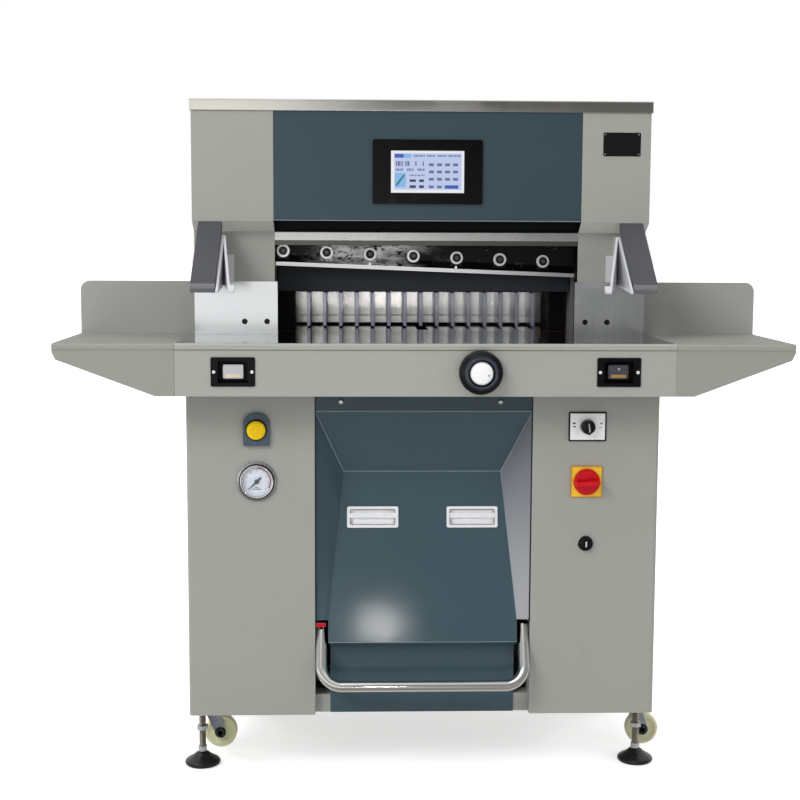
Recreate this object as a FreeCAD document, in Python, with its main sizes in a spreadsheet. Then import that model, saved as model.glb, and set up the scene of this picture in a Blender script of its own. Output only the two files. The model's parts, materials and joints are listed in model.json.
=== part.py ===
import FreeCAD, Part
import math
import os
import Sketcher
from FreeCAD import Placement, Rotation, Vector

# Hydraulic paper cutter: a cast table on a sheet-metal cabinet, a gantry with a swing-cut knife and a
# comb clamp in front of a back gauge, safety arms, side tables and a foot pedal.
# Frame: origin under the middle of the machine on the floor, X to the operator's right, Y to the back, Z up.

# Driving dimensions, in millimetres and degrees, for the whole machine
table_span = 1450
overall_depth = 1210
overall_height = 1400
table_height = 910
sheet_wall = 2
running_gap = 0.05
slide_gap = 0.2
part_gap = 0.3

# Cabinet
cabinet_width = 960
cabinet_depth = 640
cabinet_bottom = 135
cabinet_corner = 8
knee_opening = 442
rail_width = 40
rail_height = 38
rail_inset = 6
rail_setback = 20
column_return = 60
gusset_drop = 150
gusset_reach = 260
gusset_toe = 30
gusset_spread = 200
gusset_wall = 10
vent_length = 120
vent_height = 8
vent_foot = 300
vent_pitch = 22
vent_rows = 12
left_vent_x = -330
right_vent_x = 210

# Table
slab = 30
wheel_reach = 35
table_overhang = 94
lip_height = 12
lip_depth = 14
lip_reach = 2
groove = 1.5
apron_drop = 103
front_slab_reach = 212
table_side = 980
slab_rear = 600
stick_size = 10
gauge_slot = 25
lead_block = 22
rear_bearing_inset = 85
slot_start = 345
rear_table_width = 690
slot_end_margin = 35
side_apron_flat = 37
side_apron_rise = 71
tip_height = 18
tip_inset = 7
fence_height = 112
fence_corner = 20
table_sheet = 3

# Gantry
head_setback = 152
cheek_setback = 190
gantry_reach = 560
throat_width = 646
throat_shift = 13
head_foot = 1148
cheek_top = 1127
top_cover_height = 24
top_cover_lap = 3
head_panel_foot = 1156
guide_plate = 6
guide_plate_height = 112
guide_plate_lap = 6
guide_screw_rise = 27
guide_screw_hole = 6
guide_screw_head = 12
return_depth = 45
seam_depth = 24
bar_height = 19.5
bar_rise = 1.5
bar_depth = 15
bar_lip = 10
bar_lip_setback = 3
web = 30
flange_depth = 50
frame_inset = 10
frame_top = 1366
frame_rear = 540
frame_front = 25
frame_window = 40
ledge_reach = 30
beam_foot = 1160
beam_wall = 20
cylinder_lug = 20

# Knife
cut_setback = 300
blade_thickness = 10
blade_length = 760
blade_height = 78
bevel_height = 8
knife_drop = 119
knife_shear = 45
knife_tilt = 2.1
blade_gap = 0.3
pin_height = 99
right_pin_x = 365
pin_spacing = 765
pin_diameter = 30
beam_thickness = 40
beam_height = 154
carrier_chamfer = 16
seat_width = 27
seat_foot = 15
block_length = 60
block_width = 44
block_thickness = 26
slot_depth = 28
loop_gap = 0.3
screw_count = 7
screw_pitch = 94
screw_height = 33
screw_washer = 28
screw_start = 658
knife_bore = 40
knife_barrel = 180
knife_barrel_start = 46
piston_rod = 22
knife_axis_setback = 220

# Clamp and back gauge
clamp_opening = 88
clamp_depth = 60
clamp_height = 142
comb_depth = 32
comb_slot = 14
comb_height = 88
post_width = 35
post_depth = 50
post_setback = 375
rod_reach = 378
rod_diameter = 24
rod_setback = 378
yoke_height = 50
yoke_foot = 590
yoke_depth = 24
clamp_bore = 70
clamp_barrel = 90
barrel_foot = 285
barrel_length = 200
clamp_rod = 40
rib_count = 15
rib_pitch = 37
rib_width = 8
rib_reach = 109
gauge_width = 585
gauge_height = 73
gauge_setback = 539
gauge_plate = 14
gauge_lift = 5
rib_lift = 3
screw_drop = 74
lead_screw = 20
carriage_reach = 86
carriage_half = 70
neck_start = 16
neck_end = 56
motor_half = 36
motor_flange = 4

# Rear cover over the back table
hood_side_gap = 2
hood_height = 104
hinge_rise = 6
hinge_setback = 6
hinge_pin = 6
knuckle = 12
knuckle_length = 40
hinge_reach = 250

# Power pack
tank_setback = 430
tank_rise = 240
tank_half = 300
motor_axis_rise = 90
motor_diameter = 150
motor_start = -190
motor_end = 60
pump_end = 190
pump_half = 38

# Front controls
left_controls = 338
right_controls = 332
stop_button_z = 730
gauge_z = 624
selector_z = 736
main_switch_z = 623
lock_z = 495
wheel_x = 105
apron_controls_z = 855
cut_button_x = 376.5
bezel_width = 86
bezel_height = 57
bezel_depth = 30
pan_flange = 2
pan_wall = 2
pan_screw = 6
push_half_width = 20
push_half_height = 14
push_start = 6
push_plate = 8
push_stem = 10
handwheel_diameter = 86
screen_x = 11.5
screen_z = 1252
screen_width = 230
screen_height = 133
screen_bezel = 5
screen_case = 35
screen_lap = 8
display_width = 153
display_height = 87
needle_rest = 135
button_hole = 22
switch_hole = 45
gauge_case = 62
shaft_bore = 14
knob_shaft = 12

# Pedal
pedal_tube = 23
pedal_half = 208
pedal_bend = 42
pedal_bar_z = 208
pedal_bar_reach = 40
pedal_leg_top = 318
pedal_leg_setback = 22
pedal_pivot_setback = 240
pedal_pivot_z = 292
pedal_shaft = 20
pedal_arm = 10
lug_offset = 12
lug_wall = 12
lug_half = 20
lug_rise = 16

# Knee cover
knee_flange_foot = 767
crease_z = 634
crease_setback = 65
crease_half = 163
pocket_top = 335
knee_foot_z = 290
knee_foot_reach = 6
knee_foot_half = 194
toe_half = 190
toe_top = 275
knee_sheet = 2.5
pull_width = 106
pull_height = 44
pull_z = 541
pull_x = 103
pull_depth = 20

# Feet and casters
foot_x = 463
foot_setback = 88
pad_diameter = 75
pad_height = 27
stem_diameter = 14
jam_nut_z = 75
pad_collar = 12
nut_height = 10
pad_floor = 10
caster_x = 461
caster_setback = 166
caster_trail = 30
wheel_diameter = 70
wheel_width = 25
crown_half = 18
axle_z = 46
axle_diameter = 10
kingpin_diameter = 12
caster_plate = 6
plate_half = 30
swivel_gap = 4
fork_wall = 3
fork_crown = 6
bolt_reach = 7
wheel_side_gap = 1.5

# Safety arms
arm_inner = 417
arm_width = 50
arm_reach = 164
arm_fall = 126
arm_thickness = 12
arm_lip = 17
bracket_leg = 5
left_splay = 25
right_splay = 44
bracket_root = 40
bracket_top = 1079
bracket_plate = 3
bracket_tab = 7

doc = FreeCAD.newDocument("PaperCutter")
sheet = doc.addObject("Spreadsheet::Sheet", "Sizes")


class Size:
    """A length or angle: its number, and the spreadsheet expression that gives the number."""

    def __init__(self, text, value):
        self.text = text
        self.value = value

    def __add__(self, other):
        other = as_size(other)
        return Size("(%s + %s)" % (self.text, other.text), self.value + other.value)

    def __sub__(self, other):
        other = as_size(other)
        return Size("(%s - %s)" % (self.text, other.text), self.value - other.value)

    def __mul__(self, other):
        other = as_size(other)
        return Size("(%s * %s)" % (self.text, other.text), self.value * other.value)

    def __truediv__(self, other):
        other = as_size(other)
        return Size("(%s / %s)" % (self.text, other.text), self.value / other.value)

    def __neg__(self):
        return Size("(0 - %s)" % self.text, -self.value)

    def __radd__(self, other):
        return as_size(other) + self

    def __rsub__(self, other):
        return as_size(other) - self

    def __rmul__(self, other):
        return as_size(other) * self


def as_size(number):
    return number if isinstance(number, Size) else Size("(%s)" % repr(number), float(number))


def sine(angle):
    return Size("sin(%s)" % angle.text, math.sin(math.radians(angle.value)))


def cosine(angle):
    return Size("cos(%s)" % angle.text, math.cos(math.radians(angle.value)))


def slope_angle(rise, run):
    """The angle whose tangent is rise over run, in degrees."""
    text = "atan2(%s; %s) / 1 deg" % (rise.text, run.text)
    return Size("(%s)" % text, math.degrees(math.atan2(rise.value, run.value)))


class Sizes:
    """The driving dimensions above, each with its own spreadsheet cell."""

    def __init__(self, numbers):
        for row, (alias, number) in enumerate(numbers.items(), 1):
            sheet.set("A%d" % row, alias.replace("_", " "))
            sheet.set("B%d" % row, str(number))
            sheet.setAlias("B%d" % row, alias)
            setattr(self, alias, Size("Sizes." + alias, float(number)))


d = Sizes({name: number for name, number in globals().items() if isinstance(number, (int, float))})

# Planes of the machine, from the front of the handwheel to the back of the rear table
front_y = -d.overall_depth / 2
apron_y = front_y + d.wheel_reach
apron_face_y = apron_y + d.lip_reach
cabinet_y = apron_y + d.table_overhang
head_y = cabinet_y + d.head_setback
cheek_y = cabinet_y + d.cheek_setback
cut_y = cabinet_y + d.cut_setback
frame_y = cut_y + 2
gantry_back_y = cabinet_y + d.gantry_reach
cabinet_back_y = cabinet_y + d.cabinet_depth
rear_y = d.overall_depth / 2

cabinet_half = d.cabinet_width / 2
table_under = d.table_height - d.slab
table_half = d.table_side / 2
throat_left = d.throat_shift - d.throat_width / 2
throat_right = d.throat_shift + d.throat_width / 2
rail_top = d.cabinet_bottom + d.rail_height
cover_under = d.overall_height - d.sheet_wall
skirt_foot = d.overall_height - d.top_cover_height

PLANE_ROLES = {"xy": "XY_Plane", "xz": "XZ_Plane", "yz": "YZ_Plane"}
finished = []


# Outlines, each a list of points and arcs on a sketch plane

def polygon(*points):
    return ("polygon", [(as_size(u), as_size(v)) for u, v in points])


def rectangle(u_low, u_high, v_low, v_high):
    return polygon((u_low, v_low), (u_high, v_low), (u_high, v_high), (u_low, v_high))


def disc(u, v, diameter):
    return ("disc", as_size(u), as_size(v), as_size(diameter) / 2)


def rounded(u_low, u_high, v_low, v_high, radius):
    """A rectangle with four equal round corners."""
    u_low, u_high, v_low, v_high, radius = [as_size(n) for n in (u_low, u_high, v_low, v_high, radius)]
    return ("rounded", u_low, u_high, v_low, v_high, radius)


def hexagon(u, v, across_flats):
    u, v, across_flats = as_size(u), as_size(v), as_size(across_flats)
    corner = across_flats / math.sqrt(3)
    points = []
    for step in range(6):
        turn = math.radians(60 * step)
        points.append((u + corner * math.cos(turn), v + corner * math.sin(turn)))
    return polygon(*points)


def bind(sketch, kind, geometry, point, size):
    """Hold one coordinate or radius of a sketch to its size."""
    if kind == "Radius":
        index = sketch.addConstraint(Sketcher.Constraint(kind, geometry, size.value))
    else:
        index = sketch.addConstraint(Sketcher.Constraint(kind, geometry, point, size.value))
    sketch.setExpression("Constraints[%d]" % index, size.text)


def bind_point(sketch, geometry, point, u, v):
    bind(sketch, "DistanceX", geometry, point, u)
    bind(sketch, "DistanceY", geometry, point, v)


def flat(u, v):
    return Vector(u.value, v.value, 0)


def draw_polygon(sketch, points):
    first = sketch.GeometryCount
    count = len(points)
    for index, point in enumerate(points):
        after = points[(index + 1) % count]
        sketch.addGeometry(Part.LineSegment(flat(*point), flat(*after)))
    for index in range(count):
        following = first + (index + 1) % count
        sketch.addConstraint(Sketcher.Constraint("Coincident", first + index, 2, following, 1))
    for index, point in enumerate(points):
        bind_point(sketch, first + index, 1, *point)


def draw_rounded(sketch, u_low, u_high, v_low, v_high, radius):
    first = sketch.GeometryCount
    corners = [(u_high - radius, v_low + radius, -90), (u_high - radius, v_high - radius, 0),
               (u_low + radius, v_high - radius, 90), (u_low + radius, v_low + radius, 180)]
    sides = [((u_low + radius, v_low), (u_high - radius, v_low)),
             ((u_high, v_low + radius), (u_high, v_high - radius)),
             ((u_high - radius, v_high), (u_low + radius, v_high)),
             ((u_low, v_high - radius), (u_low, v_low + radius))]
    for start, end in sides:
        sketch.addGeometry(Part.LineSegment(flat(*start), flat(*end)))
    for u, v, turn in corners:
        circle = Part.Circle(flat(u, v), Vector(0, 0, 1), radius.value)
        sketch.addGeometry(Part.ArcOfCircle(circle, math.radians(turn), math.radians(turn + 90)))
    for index, (start, end) in enumerate(sides):
        bind_point(sketch, first + index, 1, *start)
        bind_point(sketch, first + index, 2, *end)
        arc = first + 4 + index
        sketch.addConstraint(Sketcher.Constraint("Coincident", arc, 1, first + index, 2))
        sketch.addConstraint(Sketcher.Constraint("Coincident", arc, 2, first + (index + 1) % 4, 1))
        bind(sketch, "Radius", arc, 0, radius)


def draw(sketch, outline):
    if outline[0] == "polygon":
        draw_polygon(sketch, outline[1])
    elif outline[0] == "rounded":
        draw_rounded(sketch, *outline[1:])
    else:
        u, v, radius = outline[1:]
        geometry = sketch.addGeometry(Part.Circle(flat(u, v), Vector(0, 0, 1), radius.value))
        bind_point(sketch, geometry, 3, u, v)
        bind(sketch, "Radius", geometry, 0, radius)


class Piece:
    """One solid of the cutter, built feature by feature in its own body."""

    def __init__(self, label):
        self.label = label
        self.body = doc.addObject("PartDesign::Body", label)
        self.steps = 0

    def feature(self, kind, word):
        self.steps += 1
        return self.body.newObject(kind, "%s_%s%d" % (self.label, word, self.steps))

    def sketch(self, plane, outlines, shift):
        """Outlines on an origin plane of the body, moved by shift along the plane's own axes."""
        sketch = self.feature("Sketcher::SketchObject", "outline")
        role = PLANE_ROLES[plane]
        support = [item for item in self.body.Origin.OriginFeatures if item.Role == role][0]
        sketch.AttachmentSupport = [(support, "")]
        sketch.MapMode = "FlatFace"
        shift = [as_size(number) for number in shift]
        sketch.AttachmentOffset = Placement(Vector(*[s.value for s in shift]), Rotation())
        for axis, size in zip("xyz", shift):
            sketch.setExpression("AttachmentOffset.Base.%s" % axis, size.text)
        for outline in outlines:
            draw(sketch, outline)
        return sketch

    def level(self, plane, low, high, cut):
        """Where the sketch of a pad or pocket from low to high lies along its plane's normal."""
        low, high = as_size(low), as_size(high)
        if plane == "xz":
            low, high = -high, -low
        return high if cut else low

    def pad(self, plane, low, high, *outlines):
        sketch = self.sketch(plane, outlines, (0, 0, self.level(plane, low, high, False)))
        pad = self.feature("PartDesign::Pad", "pad")
        pad.Profile = sketch
        pad.setExpression("Length", (as_size(high) - as_size(low)).text)
        return pad

    def pocket(self, plane, low, high, *outlines):
        sketch = self.sketch(plane, outlines, (0, 0, self.level(plane, low, high, True)))
        pocket = self.feature("PartDesign::Pocket", "pocket")
        pocket.Profile = sketch
        pocket.setExpression("Length", (as_size(high) - as_size(low)).text)
        return pocket

    def turned(self, plane, axis, shift, *outlines, cut=False):
        """A profile turned once about the sketch's own H_Axis or V_Axis."""
        sketch = self.sketch(plane, outlines, shift)
        kind = "PartDesign::Groove" if cut else "PartDesign::Revolution"
        turned = self.feature(kind, "turned")
        turned.Profile = sketch
        turned.ReferenceAxis = (sketch, [axis])
        turned.Angle = 360
        return turned

    def repeat(self, feature, axis, pitch, count):
        """Copies of a feature along the H_Axis or V_Axis of its sketch."""
        pattern = self.feature("PartDesign::LinearPattern", "row")
        pattern.Originals = [feature]
        pattern.Direction = (feature.Profile[0], [axis])
        pattern.setExpression("Length", (pitch * (count - 1)).text)
        pattern.setExpression("Occurrences", as_size(count).text)
        self.body.Tip = pattern
        return pattern

    def dress(self, kind, size, names):
        doc.recompute()
        base = self.body.Tip
        feature = self.feature(kind, "edge")
        feature.Base = (base, names(base.Shape))
        prop = "Radius" if kind == "PartDesign::Fillet" else "Size"
        feature.setExpression(prop, as_size(size).text)
        return feature

    def fillet(self, radius, axis, *places):
        """Round the straight edges that run along an axis through the given places."""
        return self.dress("PartDesign::Fillet", radius, lambda shape: straight_edges(shape, axis, places))

    def fillet_rims(self, radius, axis, *rims):
        """Round circular edges, each given as its diameter and its place along the axis."""
        return self.dress("PartDesign::Fillet", radius, lambda shape: round_edges(shape, axis, rims))

    def chamfer(self, size, axis, *places):
        return self.dress("PartDesign::Chamfer", size, lambda shape: straight_edges(shape, axis, places))

    def place(self, x, y, z, axis=None, angle=None):
        """Set the finished body at its place, turned by angle about axis."""
        place_object(self.body, x, y, z, axis, angle)
        return self


def place_object(target, x, y, z, axis=None, angle=None):
    if axis:
        target.Placement = Placement(Vector(), Rotation(axis, angle.value))
        target.setExpression("Placement.Rotation.Angle", angle.text)
    for name, size in zip("xyz", (x, y, z)):
        target.setExpression("Placement.Base.%s" % name, as_size(size).text)


def straight_edges(shape, axis, places):
    skip = "xyz".index(axis)
    others = [index for index in range(3) if index != skip]
    wanted = [[as_size(number).value for number in place] for place in places]
    names = []
    for number, edge in enumerate(shape.Edges, 1):
        ends = [vertex.Point for vertex in edge.Vertexes]
        if len(ends) < 2 or abs(ends[0][skip] - ends[1][skip]) < 0.01:
            continue
        for place in wanted:
            if all(abs(end[other] - place[k]) < 0.01 for end in ends for k, other in enumerate(others)):
                names.append("Edge%d" % number)
    return names


def round_edges(shape, axis, rims):
    index = "xyz".index(axis)
    names = []
    for number, edge in enumerate(shape.Edges, 1):
        if not isinstance(edge.Curve, Part.Circle):
            continue
        for diameter, place in rims:
            same_size = abs(edge.Curve.Radius * 2 - as_size(diameter).value) < 0.01
            if same_size and abs(edge.Curve.Center[index] - as_size(place).value) < 0.01:
                names.append("Edge%d" % number)
    return names


def finish(item):
    """Keep a piece or a group as one node of the model."""
    finished.append(item.body if isinstance(item, Piece) else item)
    return item


def group(label, pieces):
    """Separate solids that share one node."""
    compound = doc.addObject("Part::Compound", label)
    compound.Links = [piece.body if isinstance(piece, Piece) else piece for piece in pieces]
    finished.append(compound)
    return compound


def sorted_pair(inner, outer, side):
    """Low and high of a range that runs outwards on the side -1 or 1."""
    return (inner, outer) if side > 0 else (outer, inner)


def corners(x, front, rear):
    """The four places of feet or casters, named."""
    return [("front_left", -x, front), ("front_right", x, front),
            ("rear_left", -x, rear), ("rear_right", x, rear)]


# Base, feet and casters

foot_front_y = cabinet_y + d.foot_setback
foot_rear_y = cabinet_back_y - d.foot_setback
caster_front_y = cabinet_y + d.caster_setback
caster_rear_y = cabinet_back_y - d.caster_setback
stem_hole = d.stem_diameter + 2 * d.running_gap
pivot_y = cabinet_y + d.pedal_pivot_setback
barrel_y = cabinet_y + d.rod_setback


def base_frame():
    """Welded ring of rails on a drip tray, with cross rails for the pedal, the cylinder and the tank."""
    base = Piece("base_frame")
    half = cabinet_half - d.rail_inset
    front = cabinet_y + d.rail_setback
    back = cabinet_back_y - d.rail_setback
    inner = half - d.rail_width
    base.pad("xy", d.cabinet_bottom, rail_top, rectangle(-half, half, front, back),
             rectangle(-inner, inner, front + d.rail_width, back - d.rail_width))
    base.pad("xy", d.cabinet_bottom, d.cabinet_bottom + d.table_sheet,
             rectangle(-inner, inner, front + d.rail_width, back - d.rail_width))
    for middle in (pivot_y, barrel_y):
        base.pad("xy", d.cabinet_bottom, rail_top,
                 rectangle(-inner, inner, middle - d.rail_width / 2, middle + d.rail_width / 2))
    holes = [disc(x, y, stem_hole) for _, x, y in corners(d.foot_x, foot_front_y, foot_rear_y)]
    base.pocket("xy", d.cabinet_bottom, rail_top, *holes)
    for side in (-1, 1):
        middle = side * (d.pedal_half + d.lug_offset)
        base.pad("yz", middle - d.lug_wall / 2, middle + d.lug_wall / 2,
                 polygon((pivot_y - d.lug_half, rail_top), (pivot_y + d.lug_half, rail_top),
                         (pivot_y + d.lug_rise, d.pedal_pivot_z + d.lug_rise),
                         (pivot_y - d.lug_rise, d.pedal_pivot_z + d.lug_rise)))
    lug_end = d.pedal_half + d.lug_offset + d.lug_wall
    base.pocket("yz", -lug_end, lug_end,
                disc(pivot_y, d.pedal_pivot_z, d.pedal_shaft + 2 * d.running_gap))
    return finish(base)


def levelling_feet():
    pads = []
    stems = []
    socket = d.stem_diameter + 2 * d.slide_gap
    for name, x, y in corners(d.foot_x, foot_front_y, foot_rear_y):
        pad = Piece("pad_" + name)
        rim = d.pad_diameter / 2
        pad.turned("xz", "V_Axis", (x, 0, -y),
                   polygon((0, 0), (rim - 4, 0), (rim, 5), (rim - 0.5, 9), (13, d.pad_height),
                           (socket / 2, d.pad_height), (socket / 2, d.pad_floor), (0, d.pad_floor)))
        pads.append(pad)
        stem = Piece("stem_" + name)
        stem.turned("xz", "V_Axis", (x, 0, -y),
                    rectangle(0, d.stem_diameter / 2, d.pad_floor, rail_top - 2))
        stem.pad("xy", d.jam_nut_z, d.jam_nut_z + d.nut_height, hexagon(x, y, d.stem_diameter * 1.5))
        collar_foot = d.pad_height + 1
        stem.pad("xy", collar_foot, collar_foot + d.pad_collar, hexagon(x, y, d.stem_diameter * 1.2))
        stems.append(stem)
    group("levelling_pads", pads)
    group("levelling_stems", stems)


crown_top = d.cabinet_bottom - d.caster_plate - d.swivel_gap
crown_under = crown_top - d.fork_crown
leg_gap = d.wheel_width / 2 + d.wheel_side_gap


def fork_legs(fork, x, y, axle_x):
    """Two tapered cheeks from the crown to the axle, and the axle bolt through them."""
    for side in (-1, 1):
        near = side * leg_gap
        far = side * (leg_gap + d.fork_wall)
        low, high = sorted_pair(near, far, side)
        fork.pad("xz", y + low, y + high,
                 polygon((x - d.crown_half, crown_top), (x + d.crown_half, crown_top),
                         (axle_x + 12, d.axle_z), (axle_x + 6, d.axle_z - 10),
                         (axle_x - 6, d.axle_z - 10), (axle_x - 12, d.axle_z)))
    bolt = leg_gap + d.bolt_reach
    fork.pad("xz", y - bolt, y + bolt, disc(axle_x, d.axle_z, d.axle_diameter))


def casters():
    """Swivel casters in front and fixed ones behind, all clear of the floor on the levelled machine."""
    plates = []
    crown_side = leg_gap + d.fork_wall
    for name, x, y in corners(d.caster_x, caster_front_y, caster_rear_y):
        axle_x = x + d.caster_trail
        plate = Piece("plate_" + name)
        plate.pad("xy", d.cabinet_bottom - d.caster_plate, d.cabinet_bottom,
                  rounded(x - d.crown_half, x + d.crown_half, y - d.plate_half, y + d.plate_half, 6))
        if "front" in name:
            plate.pad("xy", crown_top, d.cabinet_bottom - d.caster_plate, disc(x, y, d.crown_half * 2))
            plate.pad("xy", crown_under - 1, crown_top, disc(x, y, d.kingpin_diameter))
            plate.pad("xy", crown_under - 4, crown_under - 0.5, disc(x, y, 20))
            fork = Piece(name + "_fork")
            fork.pad("xy", crown_under, crown_top,
                     rectangle(x - d.crown_half, x + d.crown_half, y - crown_side, y + crown_side))
            fork_legs(fork, x, y, axle_x)
            fork.pocket("xy", crown_under, crown_top, disc(x, y, d.kingpin_diameter + 2 * d.running_gap))
            finish(fork)
        else:
            plate.pad("xy", crown_under, d.cabinet_bottom - d.caster_plate,
                      rectangle(x - d.crown_half, x + d.crown_half, y - crown_side, y + crown_side))
            fork_legs(plate, x, y, axle_x)
        plates.append(plate)
        wheel = Piece(name + "_wheel")
        half = d.wheel_width / 2
        rim = d.wheel_diameter / 2
        bore = d.axle_diameter / 2 + d.running_gap
        wheel.turned("xy", "V_Axis", (axle_x, y, d.axle_z),
                     polygon((bore, -half - 1), (9, -half - 1), (9, -half + 3), (rim - 9, -half + 3),
                             (rim - 7, -half), (rim - 3, -half), (rim, -half + 4), (rim, half - 4),
                             (rim - 3, half), (rim - 7, half), (rim - 9, half - 3), (9, half - 3),
                             (9, half + 1), (bore, half + 1)))
        finish(wheel)
    group("caster_plates", plates)


# Load-bearing frames

tilt = d.knife_tilt
pin_end_x = d.right_pin_x + d.knife_shear
pin_end_z = d.table_height + d.blade_gap + d.pin_height
pin_start_z = pin_end_z + d.knife_drop
left_start_x = d.right_pin_x - d.pin_spacing * cosine(tilt)
left_start_z = pin_start_z + d.pin_spacing * sine(tilt)
left_end_x = pin_end_x - d.pin_spacing
right_slot_angle = slope_angle(d.knife_shear, d.knife_drop)
left_slot_angle = slope_angle(left_end_x - left_start_x, left_start_z - pin_end_z)


def slanted_slot(x_start, z_start, x_end, z_end, angle):
    """The rectangle that a slide block sweeps between two pin places, along a slanted line."""
    end_room = d.block_length / 2 + 2
    side_room = d.block_width / 2 + d.slide_gap
    along_x, along_z = sine(angle), -cosine(angle)
    across_x, across_z = cosine(angle), sine(angle)
    points = []
    for x, z, way, side in ((x_start, z_start, -1, -1), (x_end, z_end, 1, -1),
                            (x_end, z_end, 1, 1), (x_start, z_start, -1, 1)):
        points.append((x + along_x * end_room * way + across_x * side_room * side,
                       z + along_z * end_room * way + across_z * side_room * side))
    return polygon(*points)


def side_frame(label, side, throat_edge, slot):
    """Cast upright: a side web with a table shelf, and a front flange that holds the knife slot."""
    frame = Piece(label)
    outer = side * (cabinet_half - d.frame_inset)
    inner = outer - side * d.web
    low, high = sorted_pair(inner, outer, side)
    back = cabinet_y + d.frame_rear
    foot = cabinet_y + d.frame_front
    frame.pad("yz", low, high,
              polygon((foot, rail_top), (back, rail_top), (back, d.frame_top), (frame_y, d.frame_top),
                      (frame_y, table_under), (foot, table_under)))
    flange_edge = throat_edge + side * 2
    flange_low, flange_high = sorted_pair(flange_edge, outer, side)
    frame.pad("xy", rail_top, d.frame_top,
              rectangle(flange_low, flange_high, frame_y, frame_y + d.flange_depth))
    frame.pocket("yz", low, high,
                 rounded(foot + 60, frame_y - d.frame_window, rail_top + 90, table_under - 110,
                         d.frame_window))
    frame.pocket("yz", low, high,
                 rounded(frame_y + d.flange_depth + 30, back - d.frame_window, table_under + 110,
                         d.beam_foot - d.frame_window, 30))
    ledge = throat_edge - side * d.ledge_reach
    ledge_low, ledge_high = sorted_pair(ledge, flange_edge, side)
    frame.pad("xy", table_under - d.ledge_reach, table_under,
              rectangle(ledge_low, ledge_high, frame_y + 8, frame_y + d.flange_depth))
    frame.pocket("xz", frame_y, frame_y + d.slot_depth, slot)
    return finish(frame)


def gantry_crossbeam():
    """Box beam that ties the uprights at the top, with the knife cylinder's bracket."""
    beam = Piece("gantry_crossbeam")
    half = cabinet_half - d.frame_inset - d.web
    front = frame_y + d.flange_depth
    back = cabinet_y + d.frame_rear
    wall = d.beam_wall
    beam.pad("yz", -half, half, rectangle(front, back, d.beam_foot, d.frame_top),
             rectangle(front + wall, back - wall, d.beam_foot + wall, d.frame_top - wall))
    cap_x = knife_cylinder_x(d.knife_barrel + d.knife_barrel_start)
    cap_z = knife_cylinder_z(d.knife_barrel + d.knife_barrel_start)
    lean_x, lean_z = d.cylinder_lug * cosine(right_slot_angle), d.cylinder_lug * sine(right_slot_angle)
    beam.pad("xz", knife_axis_y - d.cylinder_lug, front,
             polygon((cap_x - lean_x, cap_z - lean_z), (cap_x + lean_x, cap_z + lean_z),
                     (cap_x + 24, d.frame_top), (cap_x - 40, d.frame_top)))
    return finish(beam)


# Table

stick_low = cut_y - d.stick_size / 2
stick_high = cut_y + d.stick_size / 2
lead_z = d.table_height - d.screw_drop
slot_half = d.gauge_slot / 2
joint_y = cabinet_y + d.slab_rear
lead_bore = d.lead_screw + 2 * d.running_gap


def lead_bearing(table, low, high):
    """Hanging block that carries the lead screw under the table."""
    x = d.throat_shift
    table.pad("xy", lead_z - d.lead_block, table_under, rectangle(x - 24, x + 24, low, high))
    table.pocket("xz", low, high, disc(x, lead_z, lead_bore))


def cutting_table():
    """Ground cast slab with stiffening ribs, the cutting stick's groove and the gauge slot."""
    table = Piece("cutting_table")
    edge = apron_y + d.lip_depth
    wide = cabinet_y + d.front_slab_reach
    table.pad("xy", table_under, d.table_height,
              polygon((-table_half, edge), (table_half, edge), (table_half, wide),
                      (throat_right, wide), (throat_right, joint_y), (throat_left, joint_y),
                      (throat_left, wide), (-table_half, wide)))
    rib = table.pad("xy", table_under - 26, table_under,
                    rectangle(-257, -243, cabinet_y + 20, wide - 20))
    table.repeat(rib, "H_Axis", as_size(250), 3)
    table.pocket("xy", d.table_height - d.stick_size, d.table_height,
                 rectangle(throat_left, throat_right, stick_low, stick_high))
    start = cabinet_y + d.slot_start
    table.pocket("xy", table_under, d.table_height,
                 rectangle(d.throat_shift - slot_half, d.throat_shift + slot_half, start, joint_y))
    lead_bearing(table, start - 24, start - 2)
    return finish(table)


def cutting_stick():
    """Plastic strip under the knife, flush with the table."""
    stick = Piece("cutting_stick")
    stick.pad("xy", d.table_height - d.stick_size, d.table_height,
              rectangle(throat_left, throat_right, stick_low, stick_high))
    return finish(stick)


rear_left = d.throat_shift - d.rear_table_width / 2
rear_right = d.throat_shift + d.rear_table_width / 2
rear_bearing_y = rear_y - d.rear_bearing_inset
hood_half = d.rear_table_width / 2 - d.hood_side_gap


def rear_table():
    """Back table on two gusset brackets, with the slot and the rear bearing of the lead screw."""
    table = Piece("rear_table")
    back = rear_y - d.sheet_wall
    x = d.throat_shift
    table.pad("xy", table_under, d.table_height,
              rectangle(rear_left, rear_right, joint_y, back),
              rectangle(x - slot_half, x + slot_half, joint_y + 1, rear_y - d.slot_end_margin))
    table.pocket("xy", table_under, d.table_height,
                 rectangle(x - slot_half, x + slot_half, joint_y, joint_y + 2))
    gusset_foot = table_under - d.gusset_drop
    for side in (-1, 1):
        gusset_x = x + side * d.gusset_spread
        table.pad("yz", gusset_x - d.gusset_wall / 2, gusset_x + d.gusset_wall / 2,
                  polygon((cabinet_back_y, table_under), (cabinet_back_y, gusset_foot),
                          (cabinet_back_y + d.gusset_toe, gusset_foot),
                          (cabinet_back_y + d.gusset_reach, table_under)))
    lead_bearing(table, rear_bearing_y, rear_bearing_y + 20)
    return finish(table)


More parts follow.
